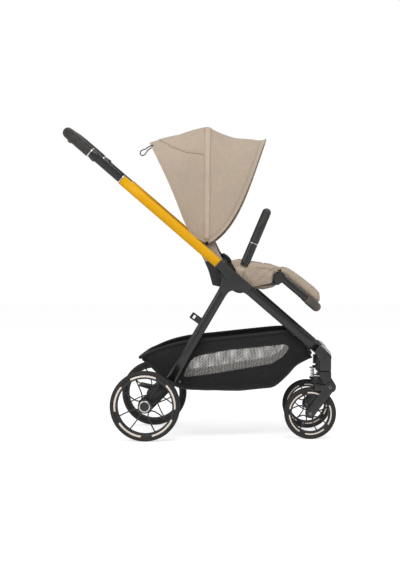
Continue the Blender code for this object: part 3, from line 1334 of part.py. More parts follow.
def basket_floor(x):
    """Height of the basket's floor line at x, from its rear lip to its front lip."""
    stations = ((-1.0725, -0.287), (-0.9983, -0.306), (-0.7926, -0.346), (-0.5734, -0.3885),
                (-0.2395, -0.3925), (0.0344, -0.3945), (0.2911, -0.3865), (0.5133, -0.3730),
                (0.6009, -0.3455), (0.7042, -0.309), (0.8732, -0.285))
    x -= HUB.x
    stations = [(basket_x(share), z) for share, z in stations]
    for (xa, za), (xb, zb) in zip(stations, stations[1:]):
        if x <= xb:
            return HUB.z + za + (zb - za) * max(0.0, (x - xa) / (xb - xa))
    return HUB.z + stations[-1][1]


def basket():
    """Open basket: walls from the rim down to a floor that rises to both lips."""
    rim = rim_line()
    form = bmesh.new()
    rows = []
    for i, middle in enumerate(rim):
        run = (rim[min(i + 1, len(rim) - 1)] - rim[max(i - 1, 0)]).normalized()
        p = middle + Vector((run.z, 0, -run.x)).normalized() * (BASKET_RIM_RADIUS + RUNNING_GAP)
        depth = max(0.004, p.z - basket_floor(p.x))
        row = []
        for side in (-1, 1):
            column = []
            for share in (0, 0.35, 0.72, 0.93, 1.0):
                draw = 1 - 0.10 * share ** 2 - (0.05 if share > 0.9 else 0) - (0.10 if share == 1 else 0)
                column.append((p.x, side * abs(p.y) * draw, p.z - depth * share))
            row.append(column if side < 0 else list(reversed(column)))
        line = row[0] + [(p.x, 0, p.z - depth)] + row[1]
        rows.append([form.verts.new(q) for q in line])
    for a, b in zip(rows, rows[1:]):
        for j in range(len(a) - 1):
            form.faces.new((a[j], a[j + 1], b[j + 1], b[j]))
    for row in (rows[0], rows[-1]):
        form.faces.new(row)
    bmesh.ops.recalc_face_normals(form, faces=form.faces)
    data = bpy.data.meshes.new("basket")
    form.to_mesh(data)
    form.free()
    made = link(data, "basket", NET)
    wall = made.modifiers.new("wall", "SOLIDIFY")
    wall.thickness = BASKET_WALL
    wall.offset = 0
    return smooth(as_mesh(made), 50)


def basket_rim():
    """Rim rod of the basket, with the stud on each side that fastens it to the front leg."""
    line = rim_line()
    points = line + [Vector((p.x, -p.y, p.z)) for p in reversed(line)]
    made = tube("basket_rim", points, BASKET_RIM_RADIUS, NET, 1, closed=True)
    end = leg_inner_face(STUD.dot(FRONT_DIRECTION) + STUD_RADIUS) - SEAT_GAP
    for _, sign in SIDES:
        made = join(made, rod("stud", STUD_RADIUS, sign * (HALF_BASKET - STUD_INSET), sign * end,
                              HUB.x + STUD.x, HUB.z + STUD.z, 10))
    made.name = "basket_rim"
    return smooth(made)


def chassis():
    for side, sign in SIDES:
        hub(side, sign)
        front_leg(side, sign)
        front_elbow(side, sign)
        elbow_reflector(side, sign)
        seat_socket(side, sign)
    front_cross_bar()
    leg_parts = [rear_leg(side, sign) for side, sign in SIDES]
    leg_parts += [axle_housing(side, sign) for side, sign in SIDES]
    leg_parts += [rear_cross_tube(), fold_latch()]
    carry("leg_fold_axis", LEG_PIVOT, *leg_parts)
    carry("brake_axis", CROSS_TUBE_AT, brake_pedal())


def wheels():
    for side, sign in SIDES:
        carry(f"rear_wheel_axis_{side}", REAR_AXLE + Vector((0, sign * HALF_REAR, 0)),
              *rear_wheel(side, sign))
        carry(f"swivel_axis_{side}", Vector((SWIVEL_X, sign * HALF_FRONT, SEAM_Z)), fork_crown(side, sign))
        carry(f"suspension_axis_{side}", ARM_PIVOT + Vector((0, sign * HALF_FRONT, 0)),
              swing_arm(side, sign), suspension_spring(side, sign))
        carry(f"front_wheel_axis_{side}", FRONT_AXLE + Vector((0, sign * HALF_FRONT, 0)),
              *front_wheel(side, sign))


def handle():
    lower = [make(side, sign) for side, sign in SIDES for make in (handle_tube, tube_collar)]
    carry("handle_fold_axis", HANDLE_PIVOT, *lower)
    upper = [inner_tube(side, sign) for side, sign in SIDES] + [handle_grip()]
    carry("handle_extend_axis", COLLAR_AT, *upper)
    carry("handle_button_axis", CROSSBAR_AT, handle_button())


def seat():
    seat_frame()
    seat_pad()
    harness_buckle()
    carry("bumper_axis", BUMPER_RING, bumper_bar())
    carry("footrest_axis", FOOT_PIVOT, footrest_frame(), footrest_sleeve(), calf_pad())
    straps = [shoulder_strap(side, sign) for side, sign in SIDES]
    carry("recline_axis", RECLINE_PIVOT, backrest_shell(), backrest_pad(), *straps)
    canopy()


chassis()
wheels()
handle()
seat()
basket()
basket_rim()
settle()
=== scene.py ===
import json
import math

import bmesh
import bpy
import numpy as np
from mathutils import Matrix, Vector


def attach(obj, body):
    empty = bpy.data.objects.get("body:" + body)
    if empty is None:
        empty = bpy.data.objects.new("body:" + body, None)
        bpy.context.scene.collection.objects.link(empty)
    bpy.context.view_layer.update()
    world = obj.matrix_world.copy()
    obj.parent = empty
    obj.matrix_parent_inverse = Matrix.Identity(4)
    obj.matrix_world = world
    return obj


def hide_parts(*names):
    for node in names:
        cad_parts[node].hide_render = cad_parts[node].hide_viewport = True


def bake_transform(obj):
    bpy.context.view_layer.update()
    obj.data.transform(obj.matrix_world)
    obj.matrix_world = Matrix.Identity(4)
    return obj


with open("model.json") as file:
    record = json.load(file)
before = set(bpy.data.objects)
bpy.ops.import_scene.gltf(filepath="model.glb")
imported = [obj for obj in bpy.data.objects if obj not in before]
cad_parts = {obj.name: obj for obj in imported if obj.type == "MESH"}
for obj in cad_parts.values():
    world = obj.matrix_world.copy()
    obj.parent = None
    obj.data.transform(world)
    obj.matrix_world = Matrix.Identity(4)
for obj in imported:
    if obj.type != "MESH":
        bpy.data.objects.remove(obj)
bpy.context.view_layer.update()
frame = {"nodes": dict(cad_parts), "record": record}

nodes = frame["nodes"]
print("frame loaded:", len(nodes), "nodes")

# places that the source gives, in metres
hubAt = np.array([0.1155, 0, 0.5645])
pivots = {"handle": (0.0822, 0.5933), "leg": (0.0902, 0.5214), "arm": (0.4517, 0.1802),
          "recline": (0.0600, 0.5425), "knee": (0.2758, 0.5570)}
sides = (("right", -1), ("left", 1))
yHat = np.array([0.0, 1.0, 0.0])


def ray(degrees):
    # unit direction in the side plane, turned up from straight ahead
    a = math.radians(degrees)
    return np.array([math.cos(a), 0, math.sin(a)])


handleWay, legWay, frontWay = ray(139.1), ray(239.6), ray(-40.9)

# camera first: it stands where the photograph's vanishing points put it, and looks a little back and down
view = {"place": (0.1865, -5.723, 0.648), "aim": (-0.03296, 1.0, -0.02114), "lens": 101.6, "sensor": 36}


def linked(name, data):
    made = bpy.data.objects.new(name, data)
    bpy.context.scene.collection.objects.link(made)
    return made


camera = linked("camera", bpy.data.cameras.new("camera"))
camera.location = view["place"]
camera.rotation_euler = Vector(view["aim"]).to_track_quat("-Z", "Y").to_euler()
camera.data.lens, camera.data.sensor_width, camera.data.clip_end = view["lens"], view["sensor"], 60
bpy.context.scene.camera = camera
print("camera placed")


# shapes worked out as whole arrays

def xyz(*columns):
    # columns set side by side, each stretched to the shape of the others
    return np.stack(np.broadcast_arrays(*columns), -1)


def unit(v):
    return v / np.maximum(np.linalg.norm(v, axis=-1, keepdims=True), 1e-9)


def read(x, table, column=1):
    # a table's column at x, straight between its rows
    table = np.asarray(table, float)
    return np.interp(x, table[:, 0], table[:, column])


def runOf(line):
    # length of the line up to each of its points
    return np.r_[0, np.cumsum(np.linalg.norm(np.diff(line, axis=0), axis=1))]


def evenly(line, count):
    # the same line with its points spaced evenly by length
    run = runOf(line)
    want = np.linspace(0, run[-1], count)
    return np.stack([np.interp(want, run, line[:, k]) for k in range(line.shape[1])], 1)


def closedEvenly(line, count):
    # the same for a line that returns to its start
    return evenly(np.vstack([line, line[:1]]), count + 1)[:-1]


def curveThrough(points, count, closed=False):
    # cubic through the points, each piece shaped by the point before and after it
    p = np.asarray(points, float)
    q = np.vstack([p[-1], p, p[0], p[1]]) if closed else np.vstack([2 * p[0] - p[1], p, 2 * p[-1] - p[-2]])
    last = len(p) if closed else len(p) - 1
    t = np.linspace(0, last - 1e-9, last * 24 + 1)
    i = t.astype(int)
    f = (t - i)[:, None]
    a, b, c, d = q[i], q[i + 1], q[i + 2], q[i + 3]
    square, cube = 2 * a - 5 * b + 4 * c - d, 3 * b - a - 3 * c + d
    line = 0.5 * (2 * b + (c - a) * f + square * f ** 2 + cube * f ** 3)
    return evenly(line, count + 1)[:-1] if closed else evenly(line, count)


def fullTurn(count):
    return np.linspace(0, 2 * np.pi, count, endpoint=False)


def oval(width, height, count=24, power=2.0):
    # superellipse: each coordinate is the cosine or sine raised to 2 / power, sign kept
    a = fullTurn(count)
    c, s = np.cos(a), np.sin(a)
    return np.stack([width / 2 * np.sign(c) * np.abs(c) ** (2 / power),
                     height / 2 * np.sign(s) * np.abs(s) ** (2 / power)], 1)


def carried(path, profile, up, grow=None):
    # profile carried along a path: its first number goes to the side, its second along the up direction
    along = unit(np.gradient(path, axis=0))
    side = unit(np.cross(along, np.broadcast_to(np.asarray(up, float), along.shape)))
    lift = np.cross(side, along)
    shape = np.broadcast_to(profile, (len(path),) + profile.shape[-2:])
    if grow is not None:
        shape = shape * np.asarray(grow)[:, None, None]
    return path[:, None] + shape[..., :1] * side[:, None] + shape[..., 1:] * lift[:, None]


def roundEnds(count, reach=0.12, least=0.05):
    # size along a run whose ends close like a quarter circle
    s = np.linspace(0, 1, count)
    end = np.clip(np.minimum(s, 1 - s) / reach, 0, 1)
    return np.maximum(least, np.sqrt(1 - (1 - end) ** 2))


def endSizes(count, *sizes):
    # ones, with these sizes at the first points and again at the last
    grow = np.ones(count)
    for k, size in enumerate(sizes):
        grow[[k, -1 - k]] = size
    return grow


def turned(profile, centre, steps=128):
    # profile of (radius, sideways) pairs turned round the Y axis through the centre
    a = fullTurn(steps)
    r, y = np.asarray(profile, float).T
    return xyz(centre[0] + np.outer(np.cos(a), r), centre[1] + y, centre[2] + np.outer(np.sin(a), r))


def roundedCorners(points, radius, steps=4):
    # closed outline whose corners are replaced by quadratic curves that start a radius from the corner
    p = np.asarray(points, float)
    before, after = np.roll(p, 1, 0), np.roll(p, -1, 0)
    short = 0.45 * np.minimum(np.linalg.norm(p - before, axis=1), np.linalg.norm(after - p, axis=1))
    cut = np.minimum(radius, short)[:, None]
    a, b = p + unit(before - p) * cut, p + unit(after - p) * cut
    t = np.linspace(0, 1, steps + 1)[None, :, None]
    line = (1 - t) ** 2 * a[:, None] + 2 * t * (1 - t) * p[:, None] + t ** 2 * b[:, None]
    return line.reshape(-1, p.shape[1])


def slab(outline, yFrom, yTo, edge=0.0012):
    # side-plane outline carried across from one y to the other, with rounded edges on both faces
    p = np.asarray(outline, float)
    tangent = unit(np.roll(p, -1, 0) - np.roll(p, 1, 0))
    inward = np.stack([-tangent[:, 1], tangent[:, 0]], 1)
    if np.sum(p[:, 0] * np.roll(p[:, 1], -1) - p[:, 1] * np.roll(p[:, 0], -1)) < 0:
        inward = -inward
    a = np.linspace(0, np.pi / 2, 4)
    draw, step = edge * (1 - np.sin(a)), np.sign(yTo - yFrom) * edge * (1 - np.cos(a))
    flat = p[None] + inward[None] * np.r_[draw, draw[::-1]][:, None, None]
    return xyz(flat[..., 0], np.r_[yFrom + step, yTo - step[::-1]][:, None], flat[..., 1])


def quadsOf(nu, nv, wrapU=False, wrapV=False):
    # corner numbers of each quad in a grid of nu rows and nv columns
    i, j = np.meshgrid(np.arange(nu if wrapU else nu - 1), np.arange(nv if wrapV else nv - 1), indexing="ij")
    i2, j2 = (i + 1) % nu, (j + 1) % nv
    return np.stack([i * nv + j, i2 * nv + j, i2 * nv + j2, i * nv + j2], -1).reshape(-1, 4)


def fill(name, grid, wrapU=False, wrapV=False, caps=False, sharp=None):
    # mesh of quads over the grid, with UV in metres along both directions; caps close the first and last rows
    nu, nv = grid.shape[:2]
    quads = quadsOf(nu, nv, wrapU, wrapV)
    i, j = quads[:, 0] // nv, quads[:, 0] % nv
    u = np.r_[0, np.cumsum(np.linalg.norm(np.roll(grid, -1, 0) - grid, axis=2).mean(1))]
    v = np.r_[0, np.cumsum(np.linalg.norm(np.roll(grid, -1, 1) - grid, axis=2).max(0))]
    uv = np.stack([xyz(u[i + a], v[j + b]) for a, b in ((0, 0), (1, 0), (1, 1), (0, 1))], -2).reshape(-1, 2)
    points, faces = grid.reshape(-1, 3), quads.tolist()
    if caps:
        k = np.arange(nv)
        k2, end, a = (k + 1) % nv, (nu - 1) * nv, 2 * np.pi * k / nv
        points = np.vstack([points, grid[0].mean(0), grid[-1].mean(0)])
        faces += xyz(nu * nv, k, k2).tolist() + xyz(nu * nv + 1, end + k2, end + k).tolist()
        around = xyz(np.cos(a), np.sin(a)) * v[-1] / 6.3
        fan = np.stack([np.zeros_like(around), around, np.roll(around, -1, 0)], 1).reshape(-1, 2)
        uv = np.vstack([uv, fan, fan])
    mesh = bpy.data.meshes.new(name)
    mesh.from_pydata(points.tolist(), [], faces)
    mesh.uv_layers.new(name="UVMap").data.foreach_set("uv", uv.astype(np.float32).ravel())
    return finished(name, mesh, sharp)


def reshaped(mesh, change, source=None):
    # the mesh, or its source, after the change, a function of its editable form
    form = bmesh.new()
    form.from_mesh(source or mesh)
    change(form)
    form.to_mesh(mesh)
    form.free()


def outwards(form):
    # faces turned so that they look out
    bmesh.ops.recalc_face_normals(form, faces=form.faces)


def finished(name, mesh, sharp=None, change=outwards, source=None):
    mesh.update()
    reshaped(mesh, change, source)
    mesh.polygons.foreach_set("use_smooth", np.ones(len(mesh.polygons), bool))
    if sharp:
        mesh.set_sharp_from_angle(angle=math.radians(sharp))
    return linked(name, mesh)


def bake(piece):
    # what the modifiers make of the mesh takes its place
    bpy.context.view_layer.update()
    mesh = bpy.data.meshes.new_from_object(piece.evaluated_get(bpy.context.evaluated_depsgraph_get()))
    mesh.name = piece.name
    old = piece.data
    piece.modifiers.clear()
    piece.data = mesh
    bpy.data.meshes.remove(old)
    return piece


def thicken(piece, thickness, offset=-1.0):
    # the sheet's wall is made part of its mesh
    wall = piece.modifiers.new("wall", "SOLIDIFY")
    wall.thickness, wall.offset, wall.use_even_offset = thickness, offset, True
    return bake(piece)


def coordinates(mesh):
    points = np.empty(len(mesh.vertices) * 3, np.float32)
    mesh.vertices.foreach_get("co", points)
    return points.reshape(-1, 3).astype(float)


def setCoordinates(mesh, points):
    mesh.vertices.foreach_set("co", points.astype(np.float32).ravel())
    mesh.update()


def joined(name, pieces):
    # several meshes as one piece; their first materials are kept by face
    bpy.context.view_layer.update()
    form = bmesh.new()
    kept, start = [], 0
    for piece in pieces:
        form.from_mesh(piece.data)
        form.faces.ensure_lookup_table()
        look = piece.data.materials[0]
        if look not in kept:
            kept.append(look)
        for face in form.faces[start:]:
            face.material_index = kept.index(look)
        start = len(form.faces)
    mesh = bpy.data.meshes.new(name)
    form.to_mesh(mesh)
    form.free()
    for look in kept:
        mesh.materials.append(look)
    for piece in pieces:
        bpy.data.objects.remove(piece)
    return linked(name, mesh)


def place(piece, body=None, slot=None, *stands):
    if body:
        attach(piece, body)
    if stands:
        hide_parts(*stands)
    return piece


def placeAll(name, pieces, body, slot, *stands):
    # the pieces as one, placed
    return place(joined(name, pieces), body, slot, *stands)


def painted(piece, look):
    # the piece with this look alone
    piece.data.materials.clear()
    piece.data.materials.append(looks[look])
    return piece


def sweep(name, path, profile, look, up=yHat, grow=None, wrapU=False, sharp=None):
    # closed profile carried along a path, its two ends closed unless the path runs round
    grid = carried(path, profile, up, grow)
    return painted(fill(name, grid, wrapU=wrapU, wrapV=True, caps=not wrapU, sharp=sharp), look)


def block(name, outline, yFrom, yTo, look, edge=0.0015, sharp=None):
    # side-plane outline carried from one y to the other
    return painted(fill(name, slab(outline, yFrom, yTo, edge), wrapV=True, caps=True, sharp=sharp), look)


def roundPart(name, profile, centre, look, steps=96, sharp=None):
    # closed (radius, sideways) outline turned once round the axle
    return painted(fill(name, turned(profile, centre, steps), wrapU=True, wrapV=True, sharp=sharp), look)


def disc(name, radius, yFrom, yTo, at, look, steps, edge=0.001):
    # button round a side-plane place, its outer corners rounded on the yTo face
    s = np.sign(yTo - yFrom)
    a = np.linspace(0, np.pi / 2, 4)
    rim = np.stack([radius - edge + edge * np.sin(a), yTo - s * edge * (1 - np.cos(a))], 1)
    outline = np.vstack([[(0.0, yFrom), (radius, yFrom)], rim[::-1], [(0.0, yTo)]])
    return roundPart(name, outline, (at[0], 0, at[1]), look, steps, 40)


def aside(y):
    # sideways steps as points; a list of them gives a row for each
    return np.multiply.outer(y, yHat)


def inPlane(at):
    # a side-plane place as a point of the middle plane
    return np.array([at[0], 0, at[1]])


def stitches(name, path, normal, look="paleThread", length=0.0030, gap=0.0016, width=0.0007):
    # dashes along a path: each an oval bead of five sections, sunk at its ends
    normal = np.broadcast_to(np.asarray(normal, float), path.shape)
    run = runOf(path)
    count = max(2, int(run[-1] / (length + gap)))
    start = np.linspace(0, run[-1] - length, count)
    at = start[:, None] + np.linspace(0, 1, 5)[None] * length
    where = np.stack([np.interp(at, run, path[:, k]) for k in range(3)], -1)
    up = unit(np.stack([np.interp(at, run, normal[:, k]) for k in range(3)], -1))
    side = unit(np.cross(unit(where[:, -1:] - where[:, :1]), up))
    a = fullTurn(6)[None, None, :, None]
    size = width / 2 * np.array([0.35, 0.95, 1.0, 0.95, 0.35])
    ring = np.cos(a) * side[:, :, None] + np.sin(a) * up[:, :, None]
    lift = width * np.array([-0.35, 0.2, 0.35, 0.2, -0.35])
    points = where[:, :, None] + up[:, :, None] * lift[None, :, None, None] + ring * size[None, :, None, None]
    bead = 30 * np.arange(count)[:, None, None]
    faces = (quadsOf(5, 6, wrapV=True)[None] + bead).reshape(-1, 4).tolist()
    lids = np.array([[0, 1, 2, 3, 4, 5], [29, 28, 27, 26, 25, 24]])
    mesh = bpy.data.meshes.new(name)
    mesh.from_pydata(points.reshape(-1, 3).tolist(), [], faces + (lids[None] + bead).reshape(-1, 6).tolist())
    return painted(finished(name, mesh), look)


# materials: each step adds a node to a tree and gives back one of its outputs

def fillIn(node, inputs):
    for key, value in inputs.items():
        if isinstance(value, bpy.types.NodeSocket):
            node.id_data.links.new(value, node.inputs[key])
        else:
            node.inputs[key].default_value = value


def add(tree, kind, inputs, output=0, **settings):
    made = tree.nodes.new("ShaderNode" + kind)
    for key, value in settings.items():
        setattr(made, key, value)
    fillIn(made, inputs)
    return made.outputs[output]


def newLook(name, colour, roughness, metallic=0.0, specular=0.5):
    look = bpy.data.materials.new(name)
    look.use_nodes = True
    shader = look.node_tree.nodes["Principled BSDF"]
    fillIn(shader, {"Base Color": (*colour, 1), "Roughness": roughness, "Metallic": metallic,
                    "Specular IOR Level": specular})
    return look, look.node_tree, shader


def maths(operation, a, b=0.0):
    return add(a.id_data, "Math", {0: a, 1: b}, operation=operation)


def plus(a, b, share=1.0):
    return maths("ADD", a, b if share == 1 else maths("MULTIPLY", b, share))


def wave(x, length):
    return maths("SINE", maths("MULTIPLY", x, 2 * math.pi / length))


def coords(tree, source="Object", scale=(1, 1, 1), turn=(0, 0, 0)):
    where = add(tree, "TexCoord", {}, source)
    return add(tree, "Mapping", {"Vector": where, "Scale": scale, "Rotation": turn})


def axes(tree, source="UV"):
    return add(tree, "SeparateXYZ", {0: coords(tree, source)}).node.outputs


def noise(where, scale, detail=2.0):
    return add(where.id_data, "TexNoise", {"Vector": where, "Scale": scale, "Detail": detail}, "Fac")


def cells(where, scale, randomness, feature):
    return add(where.id_data, "TexVoronoi", {"Vector": where, "Scale": scale, "Randomness": randomness},
               "Distance", feature=feature)


def spread(value, low, high, lowTo=0.0, highTo=1.0):
    return add(value.id_data, "MapRange", {"Value": value, "From Min": low, "From Max": high, "To Min": lowTo,
                                           "To Max": highTo})


def tint(value, low, high, first, second):
    # from the first colour where the value is low to the second where it is high
    inputs = {"Factor": spread(value, low, high), "A": (*first, 1), "B": (*second, 1)}
    return add(value.id_data, "Mix", inputs, "Result", data_type="RGBA")


def shades(value, low, high, colour, dark, light):
    # one colour, darker where the value is low and lighter where it is high
    return tint(value, low, high, scaled(colour, dark), scaled(colour, light))


def times(a, b):
    return add(a.id_data, "Mix", {"Factor": 1.0, "A": a, "B": b}, "Result", data_type="RGBA",
               blend_type="MULTIPLY")


def bump(shader, height, strength, distance, below=None):
    made = add(shader.id_data, "Bump", {"Strength": strength, "Distance": distance, "Height": height})
    if below:
        fillIn(made.node, {"Normal": below})
    fillIn(shader, {"Normal": made})
    return made


def scaled(colour, share):
    return tuple(c * share for c in colour)


clothValues = {"colour": (0.475, 0.385, 0.300), "thread": 0.0007, "melange": 0.10, "sheen": 0.22}


def wovenCloth(name, colour, source="UV", values=clothValues):
    # plain weave: a warp wave times a weft wave, over threads of slightly uneven colour
    look, tree, shader = newLook(name, colour, 0.88, specular=0.25)
    along = axes(tree, source)
    period, m = 2 * values["thread"], values["melange"]
    weave = maths("MULTIPLY", wave(along[0], period), wave(along[1 if source == "UV" else 2], period))
    slub = noise(coords(tree, source, (260, 34, 34)), 1.0, 3.0)
    slubAcross = noise(coords(tree, source, (34, 260, 260)), 1.0, 3.0)
    threads = plus(maths("MULTIPLY", plus(slub, slubAcross), 0.5), weave, 0.05)
    shade = shades(threads, 0.32, 0.68, colour, 1 - m, 1 + m)
    cloud = tint(noise(coords(tree), 9.0, 3.0), 0.3, 0.7, (0.94, 0.94, 0.945), (1.04, 1.035, 1.03))
    fillIn(shader, {"Base Color": times(shade, cloud), "Sheen Weight": values["sheen"],
                    "Sheen Roughness": 0.45})
    crease = bump(shader, noise(coords(tree), 26, 4.0), 0.16, 0.003)
    bump(shader, plus(weave, slub, 1.4), 0.35, 0.0003, crease)
    return look


def moulded(name, colour, roughness=0.46, grain=0.0006, depth=0.18):
    # satin moulding: fine spark grain, with soft patches of more and less shine
    look, tree, shader = newLook(name, colour, roughness)
    patches, fine = noise(coords(tree), 22, 4.0), noise(coords(tree), 1 / grain)
    fillIn(shader, {"Base Color": shades(patches, 0.3, 0.7, colour, 0.88, 1.14),
                    "Roughness": spread(plus(patches, fine, 0.3), 0.4, 0.9, roughness - 0.07,
                                        roughness + 0.09)})
    bump(shader, fine, depth, 0.0002)
    return look


def coated(name, colour, roughness=0.36, coat=0.2, flake=0.05, ripple=0.08, shine=0.4):
    # powder coat: an orange-peel ripple under a thin clear coat
    look, tree, shader = newLook(name, colour, roughness, specular=shine)
    patches = noise(coords(tree), 14, 3.0)
    fillIn(shader, {"Base Color": shades(patches, 0.3, 0.7, colour, 1 - flake, 1 + flake),
                    "Roughness": spread(patches, 0.3, 0.7, roughness - 0.04, roughness + 0.06),
                    "Coat Weight": coat, "Coat Roughness": 0.22})
    bump(shader, noise(coords(tree), 900), ripple, 0.0002)
    return look


def bareMetal(name, colour, roughness=0.28, streak=(40, 900, 900)):
    look, tree, shader = newLook(name, colour, roughness, metallic=1.0)
    lines = noise(coords(tree, "Object", streak), 1.0, 3.0)
    fillIn(shader, {"Base Color": shades(lines, 0.3, 0.7, colour, 0.9, 1.06),
                    "Roughness": spread(lines, 0.3, 0.7, roughness - 0.08, roughness + 0.12)})
    bump(shader, lines, 0.08, 0.0001)
    return look


def grained(name, colour, worn, pebble=0.0016):
    # leatherette: pebbles between creases, the creases darkened as painted shade, lighter where hands polish
    # it
    look, tree, shader = newLook(name, colour, 0.52, specular=0.45)
    crease = spread(cells(coords(tree), 1 / pebble, 0.9, "DISTANCE_TO_EDGE"), 0.0, 0.16)
    patches = noise(coords(tree), 16, 4.0)
    fillIn(shader, {"Base Color": times(tint(patches, 0.35, 0.7, colour, worn),
                                        tint(crease, 0, 1, (0.72, 0.72, 0.72), (1.03, 1.03, 1.03))),
                    "Roughness": spread(crease, 0, 1, 0.68, 0.47)})
    bump(shader, plus(crease, patches, 0.4), 0.5, 0.0003)
    return look


def rubbery(name, colour):
    # tyre compound: dull, with dust in its low places and a fine pitted skin
    look, tree, shader = newLook(name, colour, 0.72, specular=0.35)
    dust = noise(coords(tree), 30, 5.0)
    fillIn(shader, {"Base Color": shades(dust, 0.45, 0.8, colour, 1, 1.5),
                    "Roughness": spread(dust, 0.3, 0.7, 0.62, 0.8)})
    bump(shader, noise(coords(tree), 1400), 0.25, 0.0003)
    return look


def ribbedWeb(name, colour):
    # webbing: ribs across the strap, with a finer twill along them, painted shade in the grooves and painted
    # highlight on the ribs
    look, tree, shader = newLook(name, colour, 0.8, specular=0.3)
    u, v = axes(tree)[:2]
    both = plus(wave(u, 0.0012), wave(plus(u, v), 0.0018), 0.5)
    fillIn(shader, {"Base Color": shades(both, -1.5, 1.5, colour, 0.6, 1.5),
                    "Sheen Weight": 0.2})
    bump(shader, both, 0.5, 0.0003)
    return look


netValues = {"pitch": 0.0034, "strand": 0.40, "colour": (0.31, 0.295, 0.28), "beat": 0.0105}


def netting(name, values=netValues):
    # warp-knit net: strands where two slanted waves rise, nothing between them
    colour, edge = values["colour"], 0.85 - 2 * values["strand"]
    look, tree, shader = newLook(name, colour, 0.75, specular=0.3)
    u, v = axes(tree)[:2]
    slant = maths("MULTIPLY", v, 0.6)
    strands = maths("MAXIMUM", wave(plus(u, slant), values["pitch"]),
                    wave(maths("SUBTRACT", u, slant), values["pitch"]))
    # the two beds of the knit beat against each other in soft waves of light and dark
    warp = maths("MULTIPLY", noise(coords(tree), 26), 0.030)
    beds = [wave(plus(bed, warp), values["beat"]) for bed in (u, maths("SUBTRACT", v, u))]
    light = spread(plus(*beds), -1.3, 1.3)
    seen = maths("SUBTRACT", strands, maths("MULTIPLY", light, 0.35))
    fillIn(shader, {"Base Color": shades(light, 0, 1, colour, 0.50, 1.45),
                    "Alpha": spread(seen, edge - 0.15, edge + 0.15)})
    bump(shader, strands, 0.4, 0.0004)
    return look


def lens(name, colour):
    # pale reflector: a clear skin over rows of tiny cubes
    look, tree, shader = newLook(name, colour, 0.2, specular=0.6)
    cubes = cells(coords(tree, "Object", (1, 1, 1), (0.5, 0.6, 0.3)), 520, 0.0, "F1")
    fillIn(shader, {"Base Color": shades(cubes, 0.1, 0.7, colour, 1.12, 0.8),
                    "Coat Weight": 0.8, "Coat Roughness": 0.06})
    bump(shader, cubes, 0.25, 0.0004)
    return look


beige = clothValues["colour"]
canvas = dict(clothValues, melange=0.3, sheen=0.1)
looks = {
    "canopyCloth": wovenCloth("canopyCloth", beige),
    "seatCloth": wovenCloth("seatCloth", beige, "Object"),
    "seatClothUv": wovenCloth("seatClothUv", beige),
    "bandCloth": wovenCloth("bandCloth", scaled(beige, 1.16)),
    # painted shade: a darker copy of the beige cloth for the lines of seams, hems and folds
    "seamShade": wovenCloth("seamShade", scaled(beige, 0.80)),
    "piping": wovenCloth("pipingCloth", scaled(beige, 1.12)),
    "paleThread": moulded("paleThread", scaled(beige, 0.9), 0.8, 0.0004, 0.4),
    "basketCloth": wovenCloth("basketCloth", (0.019, 0.019, 0.0195), "UV", canvas),
    "basketTrim": wovenCloth("basketTrim", (0.026, 0.026, 0.0265), "UV", canvas),
    "net": netting("basketNet"),
    "plastic": moulded("blackMoulding", (0.0165, 0.017, 0.017), 0.42),
    "plasticDark": moulded("darkMoulding", (0.014, 0.014, 0.0145), 0.5),
    # painted shade: a darker copy of the black moulding, put where slots and gaps would hold shade
    "recessShade": moulded("paintedRecessShade", (0.010, 0.010, 0.010), 0.6),
    "tube": coated("blackTube", (0.0125, 0.0125, 0.013), 0.34, 0.18),
    "yellow": coated("yellowTube", (0.80, 0.395, 0.0), 0.46, 0.0, 0.012, 0.03, 0.22),
    "ring": bareMetal("brightRing", (0.62, 0.59, 0.55)),
    "spring": bareMetal("springSteel", (0.11, 0.11, 0.11), 0.38, (300, 300, 300)),
    "screw": bareMetal("screwSteel", (0.16, 0.16, 0.16), 0.35, (300, 300, 300)),
    "grip": grained("gripLeather", (0.026, 0.0235, 0.0215), (0.044, 0.040, 0.037)),
    "bumperGrip": grained("bumperLeather", (0.0175, 0.0165, 0.0155), (0.038, 0.035, 0.032)),
    "sleeve": grained("sleeveLeather", (0.085, 0.072, 0.061), (0.115, 0.098, 0.084)),
    "gripThread": moulded("gripThread", (0.030, 0.027, 0.024), 0.8, 0.0004, 0.3),
    "rubber": rubbery("tyreRubber", (0.024, 0.021, 0.020)),
    "cream": moulded("creamInsert", (0.86, 0.77, 0.68), 0.5, 0.0005, 0.1),
    "web": ribbedWeb("harnessWeb", (0.018, 0.018, 0.018)),
    "lens": lens("reflectorLens", (0.56, 0.53, 0.50)),
}
print("materials ready:", len(looks))

# each CAD node keeps its shape and gets the finish of its kind, known by how its name starts
nodeLooks = {look: tuple(kinds.split()) for look, kinds in {
    "plastic": "hub_ front_elbow_ fork_crown_ swing_arm_ seat_frame rear_cap_",
    "plasticDark": "seat_socket_ rear_axle_housing_ fold_latch brake_pedal handle_button harness_buckle "
                   "rear_rim_ front_rim_",
    "tube": "front_leg_ front_cross_bar rear_leg_ rear_cross_tube inner_tube_ footrest_frame",
    "seatCloth": "seat_pad calf_pad backrest_ canopy_",
    "yellow": "handle_tube_", "ring": "tube_collar_", "lens": "elbow_reflector_", "web": "shoulder_strap_",
    "spring": "suspension_spring_", "grip": "handle_grip bumper_bar", "sleeve": "footrest_sleeve",
    "basketCloth": "basket", "rubber": "rear_tyre_ front_tyre_"}.items()}


def lookOf(nodeName):
    return next(look for look, kinds in nodeLooks.items() if nodeName.startswith(kinds))


for nodeName, node in nodes.items():
    painted(node, lookOf(nodeName))
print("nodes dressed")

